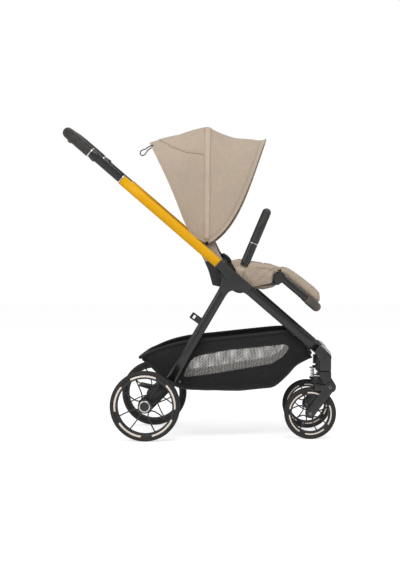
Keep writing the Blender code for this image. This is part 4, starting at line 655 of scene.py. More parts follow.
# folding hubs: the forked clevis, its cheeks with broken edges round the core and the two pins
hubValues = {
    "outline": [(0.0941, 0.4948), (0.0975, 0.5005), (0.1020, 0.5060), (0.1085, 0.5104), (0.1178, 0.5132),
                (0.1300, 0.5138), (0.1429, 0.5112), (0.1540, 0.5062), (0.1635, 0.5007), (0.1855, 0.5261),
                (0.0781, 0.6191), (0.0561, 0.5937), (0.0614, 0.5891), (0.0721, 0.5773), (0.0783, 0.5643),
                (0.0798, 0.5502), (0.0768, 0.535), (0.0691, 0.5186), (0.0651, 0.5118)],
    "core": [(0.1237, 0.577), (0.1043, 0.5546), (0.1406, 0.5232), (0.16, 0.5456)],
    "cheeks": (0.2039, 0.2114, 0.2346, 0.2421), "edge": 0.0026}


def buildHubs(v=hubValues):
    line = roundedCorners(v["outline"], 0.004, 3)
    inFrom, inTo, outFrom, outTo = v["cheeks"]
    cheeks = (("outer", line, outFrom, outTo, v["edge"]), ("inner", line, inFrom, inTo, 0.001),
              ("core", v["core"], inFrom + 0.003, outTo - 0.003, 0.001))
    for side, sign in sides:
        parts = [block(name, shape, sign * y0, sign * y1, "plastic", edge, 40)
                 for name, shape, y0, y1, edge in cheeks]
        for key in ("handle", "leg"):
            parts += [disc("head", 0.010, sign * inFrom, sign * (inFrom - 0.003), pivots[key], "screw", 32),
                      disc("pin", 0.006, sign * inFrom, sign * (outTo - 0.002), pivots[key], "screw", 24)]
        placeAll("hubShell_" + side, parts, "chassis", "moulding", "hub_" + side)


buildHubs()
print("hubs made")

# frame tubes: oval sections carried along their lines; the front leg bends inwards by so much at each reach
tubeValues = {"height": 0.0336, "thick": 0.022, "y": 0.223, "squareness": 2.15, "rear": 2.25,
              "end": np.array([0.25, 0.55, 0.82, 0.95, 0.99, 1, 1, 1, 1]),
              "handle": np.array([0.028, 0.0288, 0.031, 0.0345, 0.040, 0.060, 0.2, 0.4, 0.5003]),
              "leg": np.array([0.034, 0.0345, 0.0365, 0.040, 0.046, 0.070, 0.2, 0.3, 0.417]),
              "bend": [(0.0463, 0), (0.070, 0), (0.080, 0.0004), (0.092, 0.0020), (0.110, 0.0046),
                       (0.3843, 0.047)]}


def buildTubes(v=tubeValues):
    wide = oval(v["height"], v["thick"], 40, v["squareness"])
    slim = oval(v["height"] - 0.0012, v["thick"], 40, v["rear"])
    bend = np.array(v["bend"])
    reach = np.interp(np.linspace(0, 1, 30), np.linspace(0, 1, 6), bend[:, 0])
    lines = (("handleTube_", "handle_tube_", v["handle"], handleWay, v["y"], wide, v["end"], "yellow",
              "handle_lower", "yellow_tube"),
             ("frontLeg_", "front_leg_", reach, frontWay, v["y"] - read(reach, bend), wide, None, "tube",
              "chassis", "frame_tube"),
             ("rearLeg_", "rear_leg_", v["leg"], legWay, v["y"], slim, v["end"], "tube", "rear_frame",
              "frame_tube"))
    for side, sign in sides:
        for name, node, run, way, y, profile, grow, look, body, slot in lines:
            line = hubAt + run[:, None] * way + aside(sign * y)
            place(sweep(name + side, line, profile, look, grow=grow), body, slot, node + side)


buildTubes()
print("frame tubes made")

# mouldings that keep the source's shape: its corners welded, every hard edge broken
mouldedEdges = {
    "front_elbow_": 0.0010, "fork_crown_": 0.0009, "swing_arm_": 0.0006, "rear_axle_housing_": 0.0009,
    "brake_pedal": 0.0007, "inner_tube_": 0.0008, "tube_collar_": 0.0003, "seat_socket_": 0.0009,
    "footrest_frame": 0.0006, "harness_buckle": 0.0012, "seat_frame": 0.0008, "front_cross_bar": 0.0008,
    "rear_cross_tube": 0.0008, "handle_button": 0.0012, "suspension_spring_": 0.0,
    "elbow_reflector_": 0.0007, "canopy_middle_bow": 0.0004}
nodeSlots = {"canopy_middle_bow": "fabric"}
bodyOf = {node: body for body, held in frame["record"]["behaviour"]["bodies"].items() for node in held}
hubEdge, hubEdgeWay = (0.1300, 0, 0.5686), unit(np.array([0.0930, 0, 0.1074]))
buckleFrom, buckleTo, buckleTilt = Vector((0.1015, 0, 0.6361)), Vector((0.0915, 0, 0.6205)), 20.0
buckleWay, buckleUp = ray(114.5 + buckleTilt), ray(24.5 + buckleTilt)


def mended(form, kind):
    bmesh.ops.remove_doubles(form, verts=form.verts, dist=0.00002)
    bmesh.ops.dissolve_degenerate(form, edges=form.edges, dist=0.00001)
    if kind == "seat_socket_":
        # the socket's mouth ends flush with the hub's upper edge
        bmesh.ops.bisect_plane(form, geom=form.verts[:] + form.edges[:] + form.faces[:], dist=0.00001,
                               plane_co=hubEdge, plane_no=hubEdgeWay, clear_outer=True)
        bmesh.ops.holes_fill(form, edges=[e for e in form.edges if e.is_boundary])
    if kind == "harness_buckle":
        # the buckle leans back towards the backrest
        bmesh.ops.rotate(form, verts=form.verts, cent=buckleFrom,
                         matrix=Matrix.Rotation(-math.radians(buckleTilt), 3, "Y"))
        bmesh.ops.translate(form, verts=form.verts, vec=buckleTo - buckleFrom)


def buildMouldings(sharp=34):
    for nodeName, node in nodes.items():
        kind = next((kind for kind in mouldedEdges if nodeName.startswith(kind)), None)
        if not kind:
            continue
        name = nodeName + "Skin"
        piece = finished(name, bpy.data.meshes.new(name), sharp, lambda form: mended(form, kind), node.data)
        if mouldedEdges[kind]:
            broken = piece.modifiers.new("edge", "BEVEL")
            broken.width, broken.segments, broken.harden_normals = mouldedEdges[kind], 2, True
            broken.angle_limit = math.radians(sharp)
        painted(piece, lookOf(nodeName))
        place(piece, bodyOf[nodeName], nodeSlots.get(kind), nodeName)


buildMouldings()
print("mouldings finished")

# wheels: tyre with a rounded tread and fine grooves, rim ring, looped spokes, hub, cream inserts and cap
wheelValues = {
    "rear": {"centre": (-0.181, 0.120), "radius": 0.120, "width": 0.045, "y": 0.265, "ring": 0.78,
             "hub": 0.024, "inserts": (93, 165, 238, 309, 19.5), "insertSpan": 51, "insertAt": 0.856},
    "front": {"centre": (0.3835, 0.0895), "radius": 0.0895, "width": 0.036, "y": 0.176, "ring": 0.705,
              "hub": 0.017, "inserts": (70, 141, 212, 283.5, -4.5), "insertSpan": 56, "insertAt": 0.800},
    "spokes": (37, 127, 219, 309), "spoke": (0.0042, 0.0125), "treadPitch": 150, "bead": 0.075}


def arcBlock(v, middle, yFace, yBack, steps=40):
    # curved block: an arc of a rounded profile, closed at both ends
    a = np.radians(np.linspace(middle - v["insertSpan"] / 2, middle + v["insertSpan"] / 2, steps))
    mid, deep = v["radius"] * v["insertAt"], v["radius"] * 0.054
    path = xyz(v["centre"][0] + mid * np.cos(a), (yFace + yBack) / 2, v["centre"][1] + mid * np.sin(a))
    profile = oval(deep, abs(yFace - yBack), 20, 5.0)
    return sweep("insert", path, profile, "cream", grow=roundEnds(steps, 0.035, 0.25))


def tyreGrid(v, sign, inner, pitch):
    # section: bead, side wall, shoulder, tread with three grooves; round it, cuts where a cosine is high
    radius, half = v["radius"], v["width"] / 2
    wall = [(inner + (radius - inner) * a, y) for a, y in
            ((0, -0.80), (0.10, -0.90), (0.35, -0.985), (0.55, -1.0), (0.74, -0.965), (0.88, -0.86))]
    tread = [(radius - a, y) for a, y in ((0.0012, -0.70), (0.0003, -0.58), (0.0014, -0.53), (0.0014, -0.49),
                                          (0.0001, -0.44), (0, -0.10), (0.0012, -0.06), (0.0012, 0.0))]
    right = np.array(wall + tread)
    section = np.vstack([right, right[:-1][::-1] * (1, -1)])
    grid = turned(section * (1, half), (v["centre"][0], sign * v["y"], v["centre"][1]), pitch * 4)
    a = fullTurn(pitch * 4)[:, None]
    cut = np.clip(np.cos(pitch * a + 3.0 * section[:, 1]) - 0.55, 0, 1) * 2.2
    onTread = (np.abs(section[:, 1]) < 0.9) & (section[:, 0] > radius - 0.0030)
    out = unit((grid - inPlane(v["centre"])) * (1, 0, 1))
    return grid - out * (0.0007 * cut * onTread)[..., None]


def spokeLoop(v, angle, sign, size):
    # a U: in from the rim, round the hub and out again, as one bent flat bar
    reach = np.array([(17.5, v["ring"] + 0.03), (19.5, 0.60), (22.0, 0.36), (19.0, 0.265), (11.0, 0.218)])
    a, r = np.vstack([reach, reach[::-1] * (-1, 1)]).T
    a, r = np.radians(angle + a), r * v["radius"]
    line = curveThrough(np.stack([r * np.cos(a), r * np.sin(a)], 1), 44) + v["centre"]
    return sweep("spoke", xyz(line[:, 0], sign * v["y"], line[:, 1]), oval(*size, 16, 4.0), "plasticDark")


def buildWheel(kind, side, sign, values=wheelValues):
    v = values[kind]
    at, radius, half, middle = v["centre"], v["radius"], v["width"] / 2, sign * v["y"]
    body, axle = f"{kind}_wheel_{side}", inPlane(at)
    inner, low, face = radius * (v["ring"] + values["bead"]), radius * v["ring"], 0.86 * half
    tyre = fill(f"{kind}Tyre_{side}", tyreGrid(v, sign, inner, values["treadPitch"]), wrapU=True, wrapV=True)
    place(painted(tyre, "rubber"), body, "tyre", f"{kind}_tyre_{side}")
    flange = [(low, 0.0016), (low + 0.0008, 0.0004), (low + 0.0024, 0), (inner - 0.0020, 0),
              (inner - 0.0004, -0.0012), (inner + 0.0006, -0.0006), (inner + 0.0006, 0.0022)]
    flange = np.array(flange) - (0, face)
    section = np.vstack([flange, flange[::-1] * (1, -1)]) + (0, middle)
    parts = [roundPart("ring", section, axle, "plasticDark", 120, 45)]
    parts += [spokeLoop(v, angle, sign, values["spoke"]) for angle in values["spokes"]]
    hub = np.array([(0.0066 / v["hub"], -1), (0.62, -1), (0.66, -0.97), (0.94, -0.86), (1, -0.80)])
    hub = np.vstack([hub, hub[::-1] * (1, -1)]) * (v["hub"], half) + (0, middle)
    parts.append(roundPart("hub", hub, axle, "plasticDark", 48, 40))
    for out in (sign,) if kind == "rear" else (-1, 1):
        parts += [arcBlock(v, angle, middle + out * (face + 0.0032), middle + out * (face - 0.002))
                  for angle in v["inserts"]]
    placeAll(f"{kind}Rim_{side}", parts, body, "moulding", f"{kind}_rim_{side}")
    if kind == "rear":
        end = np.array([0, v["y"] + half])
        cap = [(0, -0.001), (0.0200, -0.001), (0.0200, 0.0020), (0.0192, 0.0036), (0.0150, 0.0046),
               (0.0080, 0.0050), (0.0, 0.0051)]
        band = [(0.0155, 0.0040), (0.0157, 0.0052), (0.0172, 0.0051), (0.0192, 0.0043), (0.0196, 0.0034),
                (0.0170, 0.0030)]
        parts = [roundPart(name, (end + section) * (1, sign), axle, look, 64, 50)
                 for name, section, look in (("cap", cap, "plastic"), ("band", band, "ring"))]
        placeAll("rearCap_" + side, parts, body, "moulding", "rear_cap_" + side)
    else:
        for out in (-1, 1):
            name = ("axleScrewIn_" if out * sign < 0 else "axleScrewOut_") + side
            place(disc(name, 0.0062, middle + out * 0.0250, middle + out * 0.0268, at, "screw", 24),
                  "arm_" + side, "steel")
    print(kind, "wheel made,", side)


for side, sign in sides:
    buildWheel("rear", side, sign)
    buildWheel("front", side, sign)

# canopy: one curved sheet over three hoops, with ribs, hems, a rear flap and its stitches
canopyValues = {"pivot": (0.0275, 0.0, 0.6731), "reach": 0.412, "half": 0.1855, "rib": 89.75, "rear": 119.5,
                "front": 66.0, "rearBulge": -0.0110, "frontSag": 0.0225, "ribGap": 0.0079, "wall": 0.0016,
                "hem": 0.0125, "flare": 0.0105, "tuck": 0.0016, "inside": np.array([0.03, 0, 0.80])}


def canopyEdges(reach, v=canopyValues):
    # both edges open out towards the pivot, each by an exponential of the distance from it
    return (v["rear"] + 24 * np.exp(1 - np.maximum(reach, 0.060) / 0.075),
            v["front"] - 41.1 * np.exp(-reach / 0.194))


def climb(q):
    # angle up the hoops: a quarter turn at the top and none at the pivots
    return np.pi / 2 * np.sin((1 - np.abs(q)) * np.pi / 2) ** 2


def reachOf(q, v=canopyValues):
    return v["reach"] * np.sqrt(np.sin(climb(q)))


def canopyAt(q, t, v=canopyValues):
    # q runs over the hoops from the right pivot (-1) to the left one (1): across is the root of a cosine and
    # reach the root of a sine; t turns from the rear edge (0) by the rib (1) to the front edge (2)
    phi = climb(q)
    across = np.sign(q) * v["half"] * np.sqrt(np.maximum(np.cos(phi), 0))
    reach = reachOf(q, v)
    rear, front = canopyEdges(reach, v)
    back = t < 1
    s = np.clip(np.where(back, t, t - 1), 0, 1)
    theta = np.radians(np.where(back, rear + (v["rib"] - rear) * s, v["rib"] + (front - v["rib"]) * s))
    full = reach / v["reach"]
    chord = reach * (1 - np.cos(0.514 * (0.5 - np.abs(s - 0.5)) * 0.9))
    swell = np.where(back, v["rearBulge"], -v["frontSag"] * (1.3 - 0.6 * s)) * 4 * s * (1 - s)
    lift = (swell - 0.5 * chord) * full * np.sqrt(np.sin(phi))
    # the cloth gathers in soft rays near the pivot and in shallow pulls between the hoops
    gather = 0.0013 * np.exp(-((full - 0.30) / 0.20) ** 2) * np.sin(theta * 21) * np.sin(np.pi * s)
    pulls = 0.0011 * full ** 2 * np.sin(np.pi * s) * np.sin(5.2 * q + 2.1 * s + 0.7) * np.cos(3.1 * q)
    pucker = 0.0005 * np.sin(reach * 270 + 2 * np.abs(q)) * np.exp(-np.minimum(s, 1 - s) / 0.09) * full
    flare = np.where(back, 0, v["flare"] * np.clip((s - 0.90) / 0.10, 0, 1) ** 2 * np.sin(phi) ** 6)
    out = reach + lift + gather + pulls + pucker + flare
    return xyz(v["pivot"][0] + np.cos(theta) * out, across, v["pivot"][2] + np.sin(theta) * out)


def canopyLifted(q, t, out, v=canopyValues, e=0.004):
    # the sheet's point moved out along its normal, the cross product of its two slopes
    point = canopyAt(q, t, v)
    alongQ = canopyAt(np.minimum(q + e, 0.9995), t, v) - canopyAt(np.maximum(q - e, -0.9995), t, v)
    alongT = canopyAt(q, np.minimum(t + e, 2), v) - canopyAt(q, np.maximum(t - e, 0), v)
    normal = unit(np.cross(alongQ, alongT))
    away = np.sum(normal * (point - v["inside"]), -1, keepdims=True)
    normal = normal * np.where(away < 0, -1.0, 1.0)
    return point + normal * np.asarray(out)[..., None], normal


def ribTurn(q, metres, v=canopyValues):
    # how far to turn from the rib, in t, to stand so many metres beside it
    reach = np.maximum(reachOf(q, v), 0.012)
    rear, front = canopyEdges(reach, v)
    turn = np.clip(np.degrees(metres / reach), -24, 24)
    return 1 + np.where(metres < 0, turn / (rear - v["rib"]), turn / (v["rib"] - front))


def onCanopy(name, q, t, out, profile, look):
    # cord along a line of the canopy, its ends drawn in
    path, normal = canopyLifted(q, t, out)
    return sweep(name, path, profile, look, normal, roundEnds(len(q), 0.01, 0.3))


def sewnOn(name, q, t, out):
    # stitches along a line of the canopy, lifted out by so much
    return stitches(name, *canopyLifted(q, t, out))


def flapEdge(t, v=canopyValues):
    # q of the rear flap's lower edge at a turn t: a third of the way up at the rib, the top at its rear end
    theta = v["rear"] + (v["rib"] - v["rear"]) * t
    phi = np.radians(np.interp(theta, [90, 91, 102.4, 109.7, 113.7, 115.2, 115.6],
                               [33.4, 33.7, 40.3, 52, 68, 84, 90]))
    return 1 - 2 / np.pi * np.arcsin(np.sqrt(phi / (np.pi / 2)))


def fromEnds(count):
    # 0 at both ends, 1 from the third point on, by a root in between
    k = np.arange(count)
    return np.clip(np.minimum(k, k[::-1]) / 2, 0, 1) ** 0.5


def buildCanopy(v=canopyValues):
    edge = np.array([0, 0.006, 0.02])
    half = np.r_[edge, np.linspace(0.045, 0.955, 36), 1 - edge[::-1]]
    t = np.r_[half, 1 + half[1:]]
    dip = -v["tuck"] * np.exp(-((t - 1) / 0.012) ** 2)
    grid, _ = canopyLifted(np.linspace(-0.992, 0.992, 181)[:, None], t[None], dip)
    cloth = painted(thicken(fill("canopyCloth", grid), v["wall"]), "canopyCloth")
    place(cloth, None, "fabric", "canopy_rear_panel", "canopy_front_panel")
    trims = []
    line = np.linspace(-0.98, 0.98, 220)
    for mark, sign in (("Rear", -1), ("Front", 1)):
        trims += [onCanopy("ribPiping" + mark, line, ribTurn(line, sign * v["ribGap"]), 0.0010,
                           oval(0.0040, 0.0032, 14), "piping"),
                  sewnOn("ribStitch" + mark, line, ribTurn(line, sign * (v["ribGap"] + 0.0034)), 0.0002)]
    band, _ = canopyLifted(line[:, None], ribTurn(line[:, None], np.linspace(-1, 1, 7) * v["ribGap"]), 0.0010)
    strip = painted(thicken(fill("ribBand", band), 0.0008), "bandCloth")
    edges = np.linspace(-0.991, 0.991, 200)
    reach = np.maximum(reachOf(edges), 0.02)
    rear, front = canopyEdges(reach)
    frontArc, rearArc = np.radians(v["rib"] - front) * reach, np.radians(rear - v["rib"]) * reach
    hem, inner = (np.clip(2 - (v["hem"] + more) / frontArc, 1.45, 1.995) for more in (0, 0.004))
    # painted shade: the hem's fold is a thin cord in the darker seam cloth
    trims += [onCanopy("frontBinding", edges, 1.998, -0.0002, oval(0.0040, 0.0044, 14), "piping"),
              onCanopy("rearBinding", edges, 0.002, -0.0002, oval(0.0036, 0.0040, 14), "piping"),
              sewnOn("hemSeam", edges, hem, 0.0003),
              onCanopy("hemFold", edges, np.clip(hem + 0.004, 1.45, 1.995), 0.0, oval(0.0016, 0.0014, 8),
                       "seamShade"),
              sewnOn("hemSeamInner", edges, inner, 0.0003),
              sewnOn("rearSeam", edges, np.clip(0.009 / rearArc, 0.005, 0.4), 0.0003)]
    # the flap: from edge to edge across the top, its rim thinner than its middle
    t = np.r_[0.148, 0.152, np.linspace(0.165, 0.93, 34), 0.945, 0.95]
    s = np.r_[0, 0.004, np.linspace(0.012, 0.988, 90), 0.996, 1]
    rim = np.minimum.outer(fromEnds(38), fromEnds(94))
    flap, _ = canopyLifted(flapEdge(t)[:, None] * (2 * s - 1), t[:, None], 0.0004 + 0.0016 * rim)
    cover = painted(thicken(fill("rearFlap", flap), 0.0009), "canopyCloth")
    t = np.linspace(0.17, 0.93, 80)
    for sign in (-1, 1):
        # painted shade: the cord along the flap's lower edge is in the darker seam cloth
        trims += [sewnOn("flapStitch", sign * (flapEdge(t) - 0.016), t, 0.0021),
                  onCanopy("flapCord", sign * flapEdge(t), t, 0.0009, oval(0.0022, 0.0020, 10), "seamShade")]
    place(onCanopy("frontBow", np.linspace(-0.984, 0.984, 200), 1.978, -0.0050, oval(0.0062, 0.0062, 14),
                   "seatCloth"), "canopy_front", "fabric", "canopy_front_bow")
    trimming = joined("canopyTrim", trims)
    for piece in (cloth, cover, strip, trimming):
        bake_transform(piece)
    # pull tab at the rear of the canopy: a stiff webbing loop
    root, _ = canopyLifted(-0.36, 0.01, 0.002)
    knots = root + np.array([(0.004, 0, 0.002), (-0.010, 0, -0.003), (-0.022, -0.001, -0.011),
                             (-0.035, -0.002, -0.016), (-0.041, -0.002, -0.025), (-0.034, -0.001, -0.034),
                             (-0.024, 0, -0.029), (-0.017, 0, -0.019), (-0.007, 0.001, -0.010),
                             (0.003, 0.001, -0.004)])
    tab = sweep("canopyPull", curveThrough(knots, 60), oval(0.0042, 0.0040, 14), "web", up=(0.6, 0, 0.8))
    place(tab, "backrest", "webbing")
    print("canopy made")


buildCanopy()

# pads: crowned closed forms, blown up as cloth, then their sewn channels and edge seams pressed in
padValues = {"voxel": 0.0050, "pressure": 4.0, "frames": 20, "cap": 0.0055, "channel": 0.0042,
             "channelWide": 0.0042, "seam": 0.0052, "start": 0.94}


def inflated(piece, v=padValues):
    # the closed form remeshed evenly and blown up by cloth pressure, no point further than the cap
    even = piece.modifiers.new("even", "REMESH")
    even.mode, even.voxel_size = "VOXEL", v["voxel"]
    bake(piece)
    start = coordinates(piece.data)
    cloth = piece.modifiers.new("cloth", "CLOTH").settings
    cloth.quality, cloth.use_pressure, cloth.uniform_pressure_force = 4, True, v["pressure"]
    cloth.effector_weights.gravity = 0
    scene = bpy.context.scene
    for step in range(1, v["frames"] + 1):
        scene.frame_set(step)
        bpy.context.view_layer.update()
    move = coordinates(bake(piece).data) - start
    far = np.linalg.norm(move, axis=1, keepdims=True)
    setCoordinates(piece.data, start + move * np.minimum(1, v["cap"] / np.maximum(far, 1e-9)))
    scene.frame_set(1)
    finer = piece.modifiers.new("finer", "SUBSURF")
    finer.levels = finer.render_levels = 1
    return bake(piece)


def padForm(name, p, count=44, v=padValues):
    # superellipse sections along the middle line, narrower and thinner towards both ends
    base, way, up = p["frame"]
    track = curveThrough([base + way * a + up * u for a, u in p["line"]], count)
    s = np.linspace(0, 1, count)
    ends = roundEnds(count, 0.13, 0.42)
    wide = 2 * p["half"] * v["start"] * (1 - 0.07 * (1 - ends)) * (1 - 0.02 * np.sin(np.pi * s) ** 2)
    thick = p["thick"] * v["start"] * np.maximum(ends, 0.45)
    sections = oval(1, 1, 56, 3.4)[None] * np.stack([wide, thick], 1)[:, None]
    return fill(name, carried(track, sections, up), wrapV=True, caps=True)


def pressed(piece, p, v=padValues):
    # channels: gaussian grooves across the top, with small gathers that run out from each; flat underneath
    base, way, up = p["frame"]
    points = coordinates(piece.data)
    a, u, y = (points - base) @ way, (points - base) @ up, points[:, 1]
    top = np.clip((u + p["thick"] * 0.05) / (p["thick"] * 0.25), 0, 1)
    inside = np.clip((p["half"] - 0.006 - np.abs(y)) / 0.012, 0, 1)
    off = [np.abs(a - c) for c in p["channels"]]
    groove = sum(np.exp(-(d / v["channelWide"]) ** 2) for d in off + [np.abs(y) - c for c in p["sideSeams"]])
    puff = 0.0006 * np.sin(a * 240 + 3 * np.sin(y * 40)) * np.sin(y * 75) * top
    near = sum(np.exp(-d / 0.010) * (d > 0.003) for d in off)
    gather = 0.0006 * np.sin(y * 2 * np.pi / 0.013) * near * inside
    depth = p.get("depth", v["channel"])
    move = puff - depth * np.minimum(groove, 1.15) * inside + gather
    points = points + (move * top)[:, None] * up
    points = points - np.minimum((points - base) @ up - p["under"], 0)[:, None] * up
    points[:, 1] = np.clip(points[:, 1], -p["half"], p["half"])
    setCoordinates(piece.data, points)


footBase, footWay, footUp = np.array([0.2758, 0, 0.5570]), ray(-40.2), ray(49.8)
backBase, backWay, backUp = np.array([0.0520, 0, 0.5385]), ray(114.5), ray(24.5)
pads = {
    "seatPadCloth": {"node": "seat_pad", "frame": (np.array([0.135, 0, 0.5905]), ray(-8.8), ray(81.2)),
                     "line": [(-0.034, -0.0115), (0, 0), (0.045, 0), (0.090, 0), (0.115, 0), (0.142, -0.002)],
                     "body": "seat", "half": 0.1560, "thick": 0.050, "channels": (0.029, 0.083),
                     "sideSeams": (0.112,), "under": -0.025},
    "calfPadCloth": {"node": "calf_pad", "frame": (footBase, footWay, footUp),
                     "line": [(-0.018, 0.0040), (0.000, 0.0185), (0.030, 0.0245), (0.075, 0.0278),
                              (0.120, 0.0290), (0.148, 0.0265), (0.161, 0.0195)],
                     "body": "footrest", "half": 0.1725, "thick": 0.040, "channels": (0.058, 0.110),
                     "sideSeams": (), "under": 0.0058, "depth": 0.0014},
    "backPadCloth": {"node": "backrest_pad", "frame": (backBase, backWay, backUp),
                     "line": [(0.087, 0.0237), (0.16, 0.0217), (0.27, 0.0207), (0.38, 0.0207),
                              (0.460, 0.0207)],
                     "body": "backrest", "half": 0.1375, "thick": 0.030, "channels": (0.198, 0.318),
                     "sideSeams": (0.094,), "under": 0.0058},
}


def buildPad(name, p):
    piece = inflated(padForm(name, p))
    pressed(piece, p)
    piece.data.polygons.foreach_set("use_smooth", np.ones(len(piece.data.polygons), bool))
    place(painted(piece, "seatCloth"), p["body"], "fabric", p["node"])
    print("pad made:", name, len(piece.data.polygons))
    return piece


madePads = {name: buildPad(name, p) for name, p in pads.items()}


def surfaceLine(name, a, y, lift):
    # points of a line laid on the top of a pad: for each, the highest height of the pad's points close by
    base, way, up = pads[name]["frame"]
    points = coordinates(madePads[name].data)
    near = np.abs(((points - base) @ way)[None] - a[:, None]) + np.abs(points[None, :, 1] - y[:, None])
    height = np.where(near < 0.006, ((points - base) @ up)[None], -1).max(1)
    height = np.convolve(np.pad(height, 2, mode="edge"), np.ones(5) / 5, "valid")
    return base + a[:, None] * way + (height + lift)[:, None] * up + aside(y)


def buildPadSeams(v=padValues):
    # double stitch on each side of every sewn channel
    for name, p in pads.items():
        y = np.linspace(0.016 - p["half"], p["half"] - 0.016, 120)
        lines = [surfaceLine(name, np.full(120, c + shift), y, 0.0002)
                 for c in p["channels"] for shift in (-v["seam"], v["seam"])]
        rows = [stitches("channelStitch", line, p["frame"][2], "paleThread", 0.0034, 0.0020, 0.0009)
                for line in lines]
        placeAll(name + "Stitches", rows, p["body"], "fabric")


buildPadSeams()
print("pads sewn")

# seat side covers: cloth drawn up the side plate, over its top and down to the seat pad
sideValues = {
    "top": [(0.1125, 0.6150), (0.1200, 0.6166), (0.1442, 0.6172), (0.1837, 0.6095), (0.2264, 0.6029),
            (0.266, 0.5960), (0.2850, 0.5892)],
    "low": [(0.1125, 0.6120), (0.1280, 0.5850), (0.1320, 0.5712), (0.1450, 0.5600), (0.1600, 0.5470),
            (0.1860, 0.5252), (0.2003, 0.5289), (0.2480, 0.5390), (0.2525, 0.5450), (0.2531, 0.5603),
            (0.2550, 0.5700), (0.2600, 0.5795), (0.2700, 0.5835), (0.2850, 0.5880)],
    "out": 0.1874, "puff": 0.0042, "in": 0.1565, "wall": 0.0016,
    "under": [(0.188, 0.5232), (0.205, 0.5182), (0.222, 0.5172), (0.2531, 0.5237), (0.2665, 0.5320)]}


def buildSideCovers(v=sideValues):
    x = np.r_[np.linspace(0.1125, 0.150, 22), np.linspace(0.154, 0.188, 10), np.linspace(0.192, 0.285, 41)]
    zTop, zLow = read(x, v["top"]), read(x, v["low"])
    zTop = np.convolve(np.pad(zTop, 3, mode="edge"), np.ones(7) / 7, "valid")
    lug = 0.0149 * np.exp(-((x - 0.1412) / 0.0175) ** 4)
    free = np.clip((x - 0.150) / 0.018, 0.25, 1) * np.clip((zTop - zLow) / 0.03, 0.15, 1)
    s, col = np.linspace(0, 1, 26), x[:, None]
    puff = v["puff"] * np.clip(4 * s * (1 - s), 0, 1) ** 0.6
    crease = 0.0007 * np.sin(70 * col + 9 * s) + 0.0005 * np.sin(180 * col - 14 * s + 1)
    z = zLow[:, None] + (zTop - 0.004 - zLow)[:, None] * s
    over = lug[:, None] * np.clip((0.594 - z) / 0.014, 0, 1)
    y = v["out"] + over + (puff + crease * np.sin(np.pi * s)) * free[:, None]
    a, t = np.linspace(0, np.pi / 2, 7)[1:], np.linspace(0, 1, 12)[1:]
    roll = xyz(col, v["out"] - 0.006 + 0.006 * np.cos(a), (zTop - 0.004)[:, None] + 0.004 * np.sin(a))
    into = xyz(col, v["out"] - 0.006 - (v["out"] - 0.006 - v["in"]) * t,
               zTop[:, None] - (0.0015 * np.sin(np.pi * t) + 0.013 * t ** 3))
    sheet = np.concatenate([xyz(col, y, z), roll, into], 1)
    hem = xyz(x, v["out"] + lug + 0.0012 * np.clip((x - 0.176) / 0.018, 0, 1), zLow)
    keep = x > 0.19
    seam, row = (evenly(xyz(x, y[:, k] + 0.0004, z[:, k])[keep], 90) for k in (21, 19))
    for side, sign in sides:
        mirror = (1, sign, 1)
        grid = sheet * mirror
        cover = painted(thicken(fill("seatSide_" + side, grid), v["wall"]), "seatClothUv")
        place(cover, "seat", "fabric")
        # painted shade: the top seam is a cord in the darker seam cloth
        trims = [sweep("hem", evenly(hem, 160) * mirror, oval(0.0026, 0.0026, 10), "piping"),
                 sweep("topSeam", seam * mirror, oval(0.0022, 0.0018, 8), "seamShade"),
                 stitches("topStitch", row * mirror, (0, sign, 0.2))]
        placeAll("seatSideTrim_" + side, trims, "seat", "fabric")
    # under cover between the side plates, slung a little below the seat tube
    x, w = np.linspace(0.188, 0.2665, 24)[:, None], np.linspace(-1, 1, 61)
    z = read(x, v["under"]) - 0.004 * (1 - w ** 2) + 0.010 * np.clip((np.abs(w) - 0.93) / 0.07, 0, 1) ** 2
    grid = xyz(x, 0.1840 * w, z + 0.0006 * np.sin(90 * x) * np.cos(17 * w))
    under = painted(thicken(fill("seatUnderCover", grid), 0.0014, 1.0), "seatClothUv")
    place(under, "seat", "fabric")
    print("seat covers made")


buildSideCovers()

# backrest: covered shell with wings, its hinge ears, canopy pins and piping
backValues = {"low": 0.012, "high": 0.515, "half": 0.1595, "wing": 0.030, "wall": 0.0062, "middle": 0.0031,
              "reach": [(0.012, 0.030), (0.035, 0.038), (0.058, 0.0555), (0.30, 0.0555), (0.44, 0.040),
                        (0.515, 0.030)], "seams": (0.16, 0.30, 0.42), "pin": 0.1722, "cap": (0.1692, 0.1728),
              "ear": ((0.011, -0.004), (0.004, -0.0115), (-0.004, -0.0115), (-0.011, -0.004)),
              "earTop": 0.0775}


def backProfile(v=backValues):
    # the U of the shell across the back: outside, wing tips and inside, its corners rounded
    w = v["wing"]
    corners = [(-1, w), (-1, 0.0), (1, 0.0), (1, w), (0.958, w), (0.948, v["wall"]), (-0.948, v["wall"]),
               (-0.958, w)]
    return closedEvenly(roundedCorners(np.array(corners) * (v["half"], 1), 0.0085, 6), 220)


def narrowed(s):
    # the back's width as a share, drawn in over its upper third
    return 1 - 0.35 * np.maximum(0, (s - 0.7) / 0.3) ** 2.5


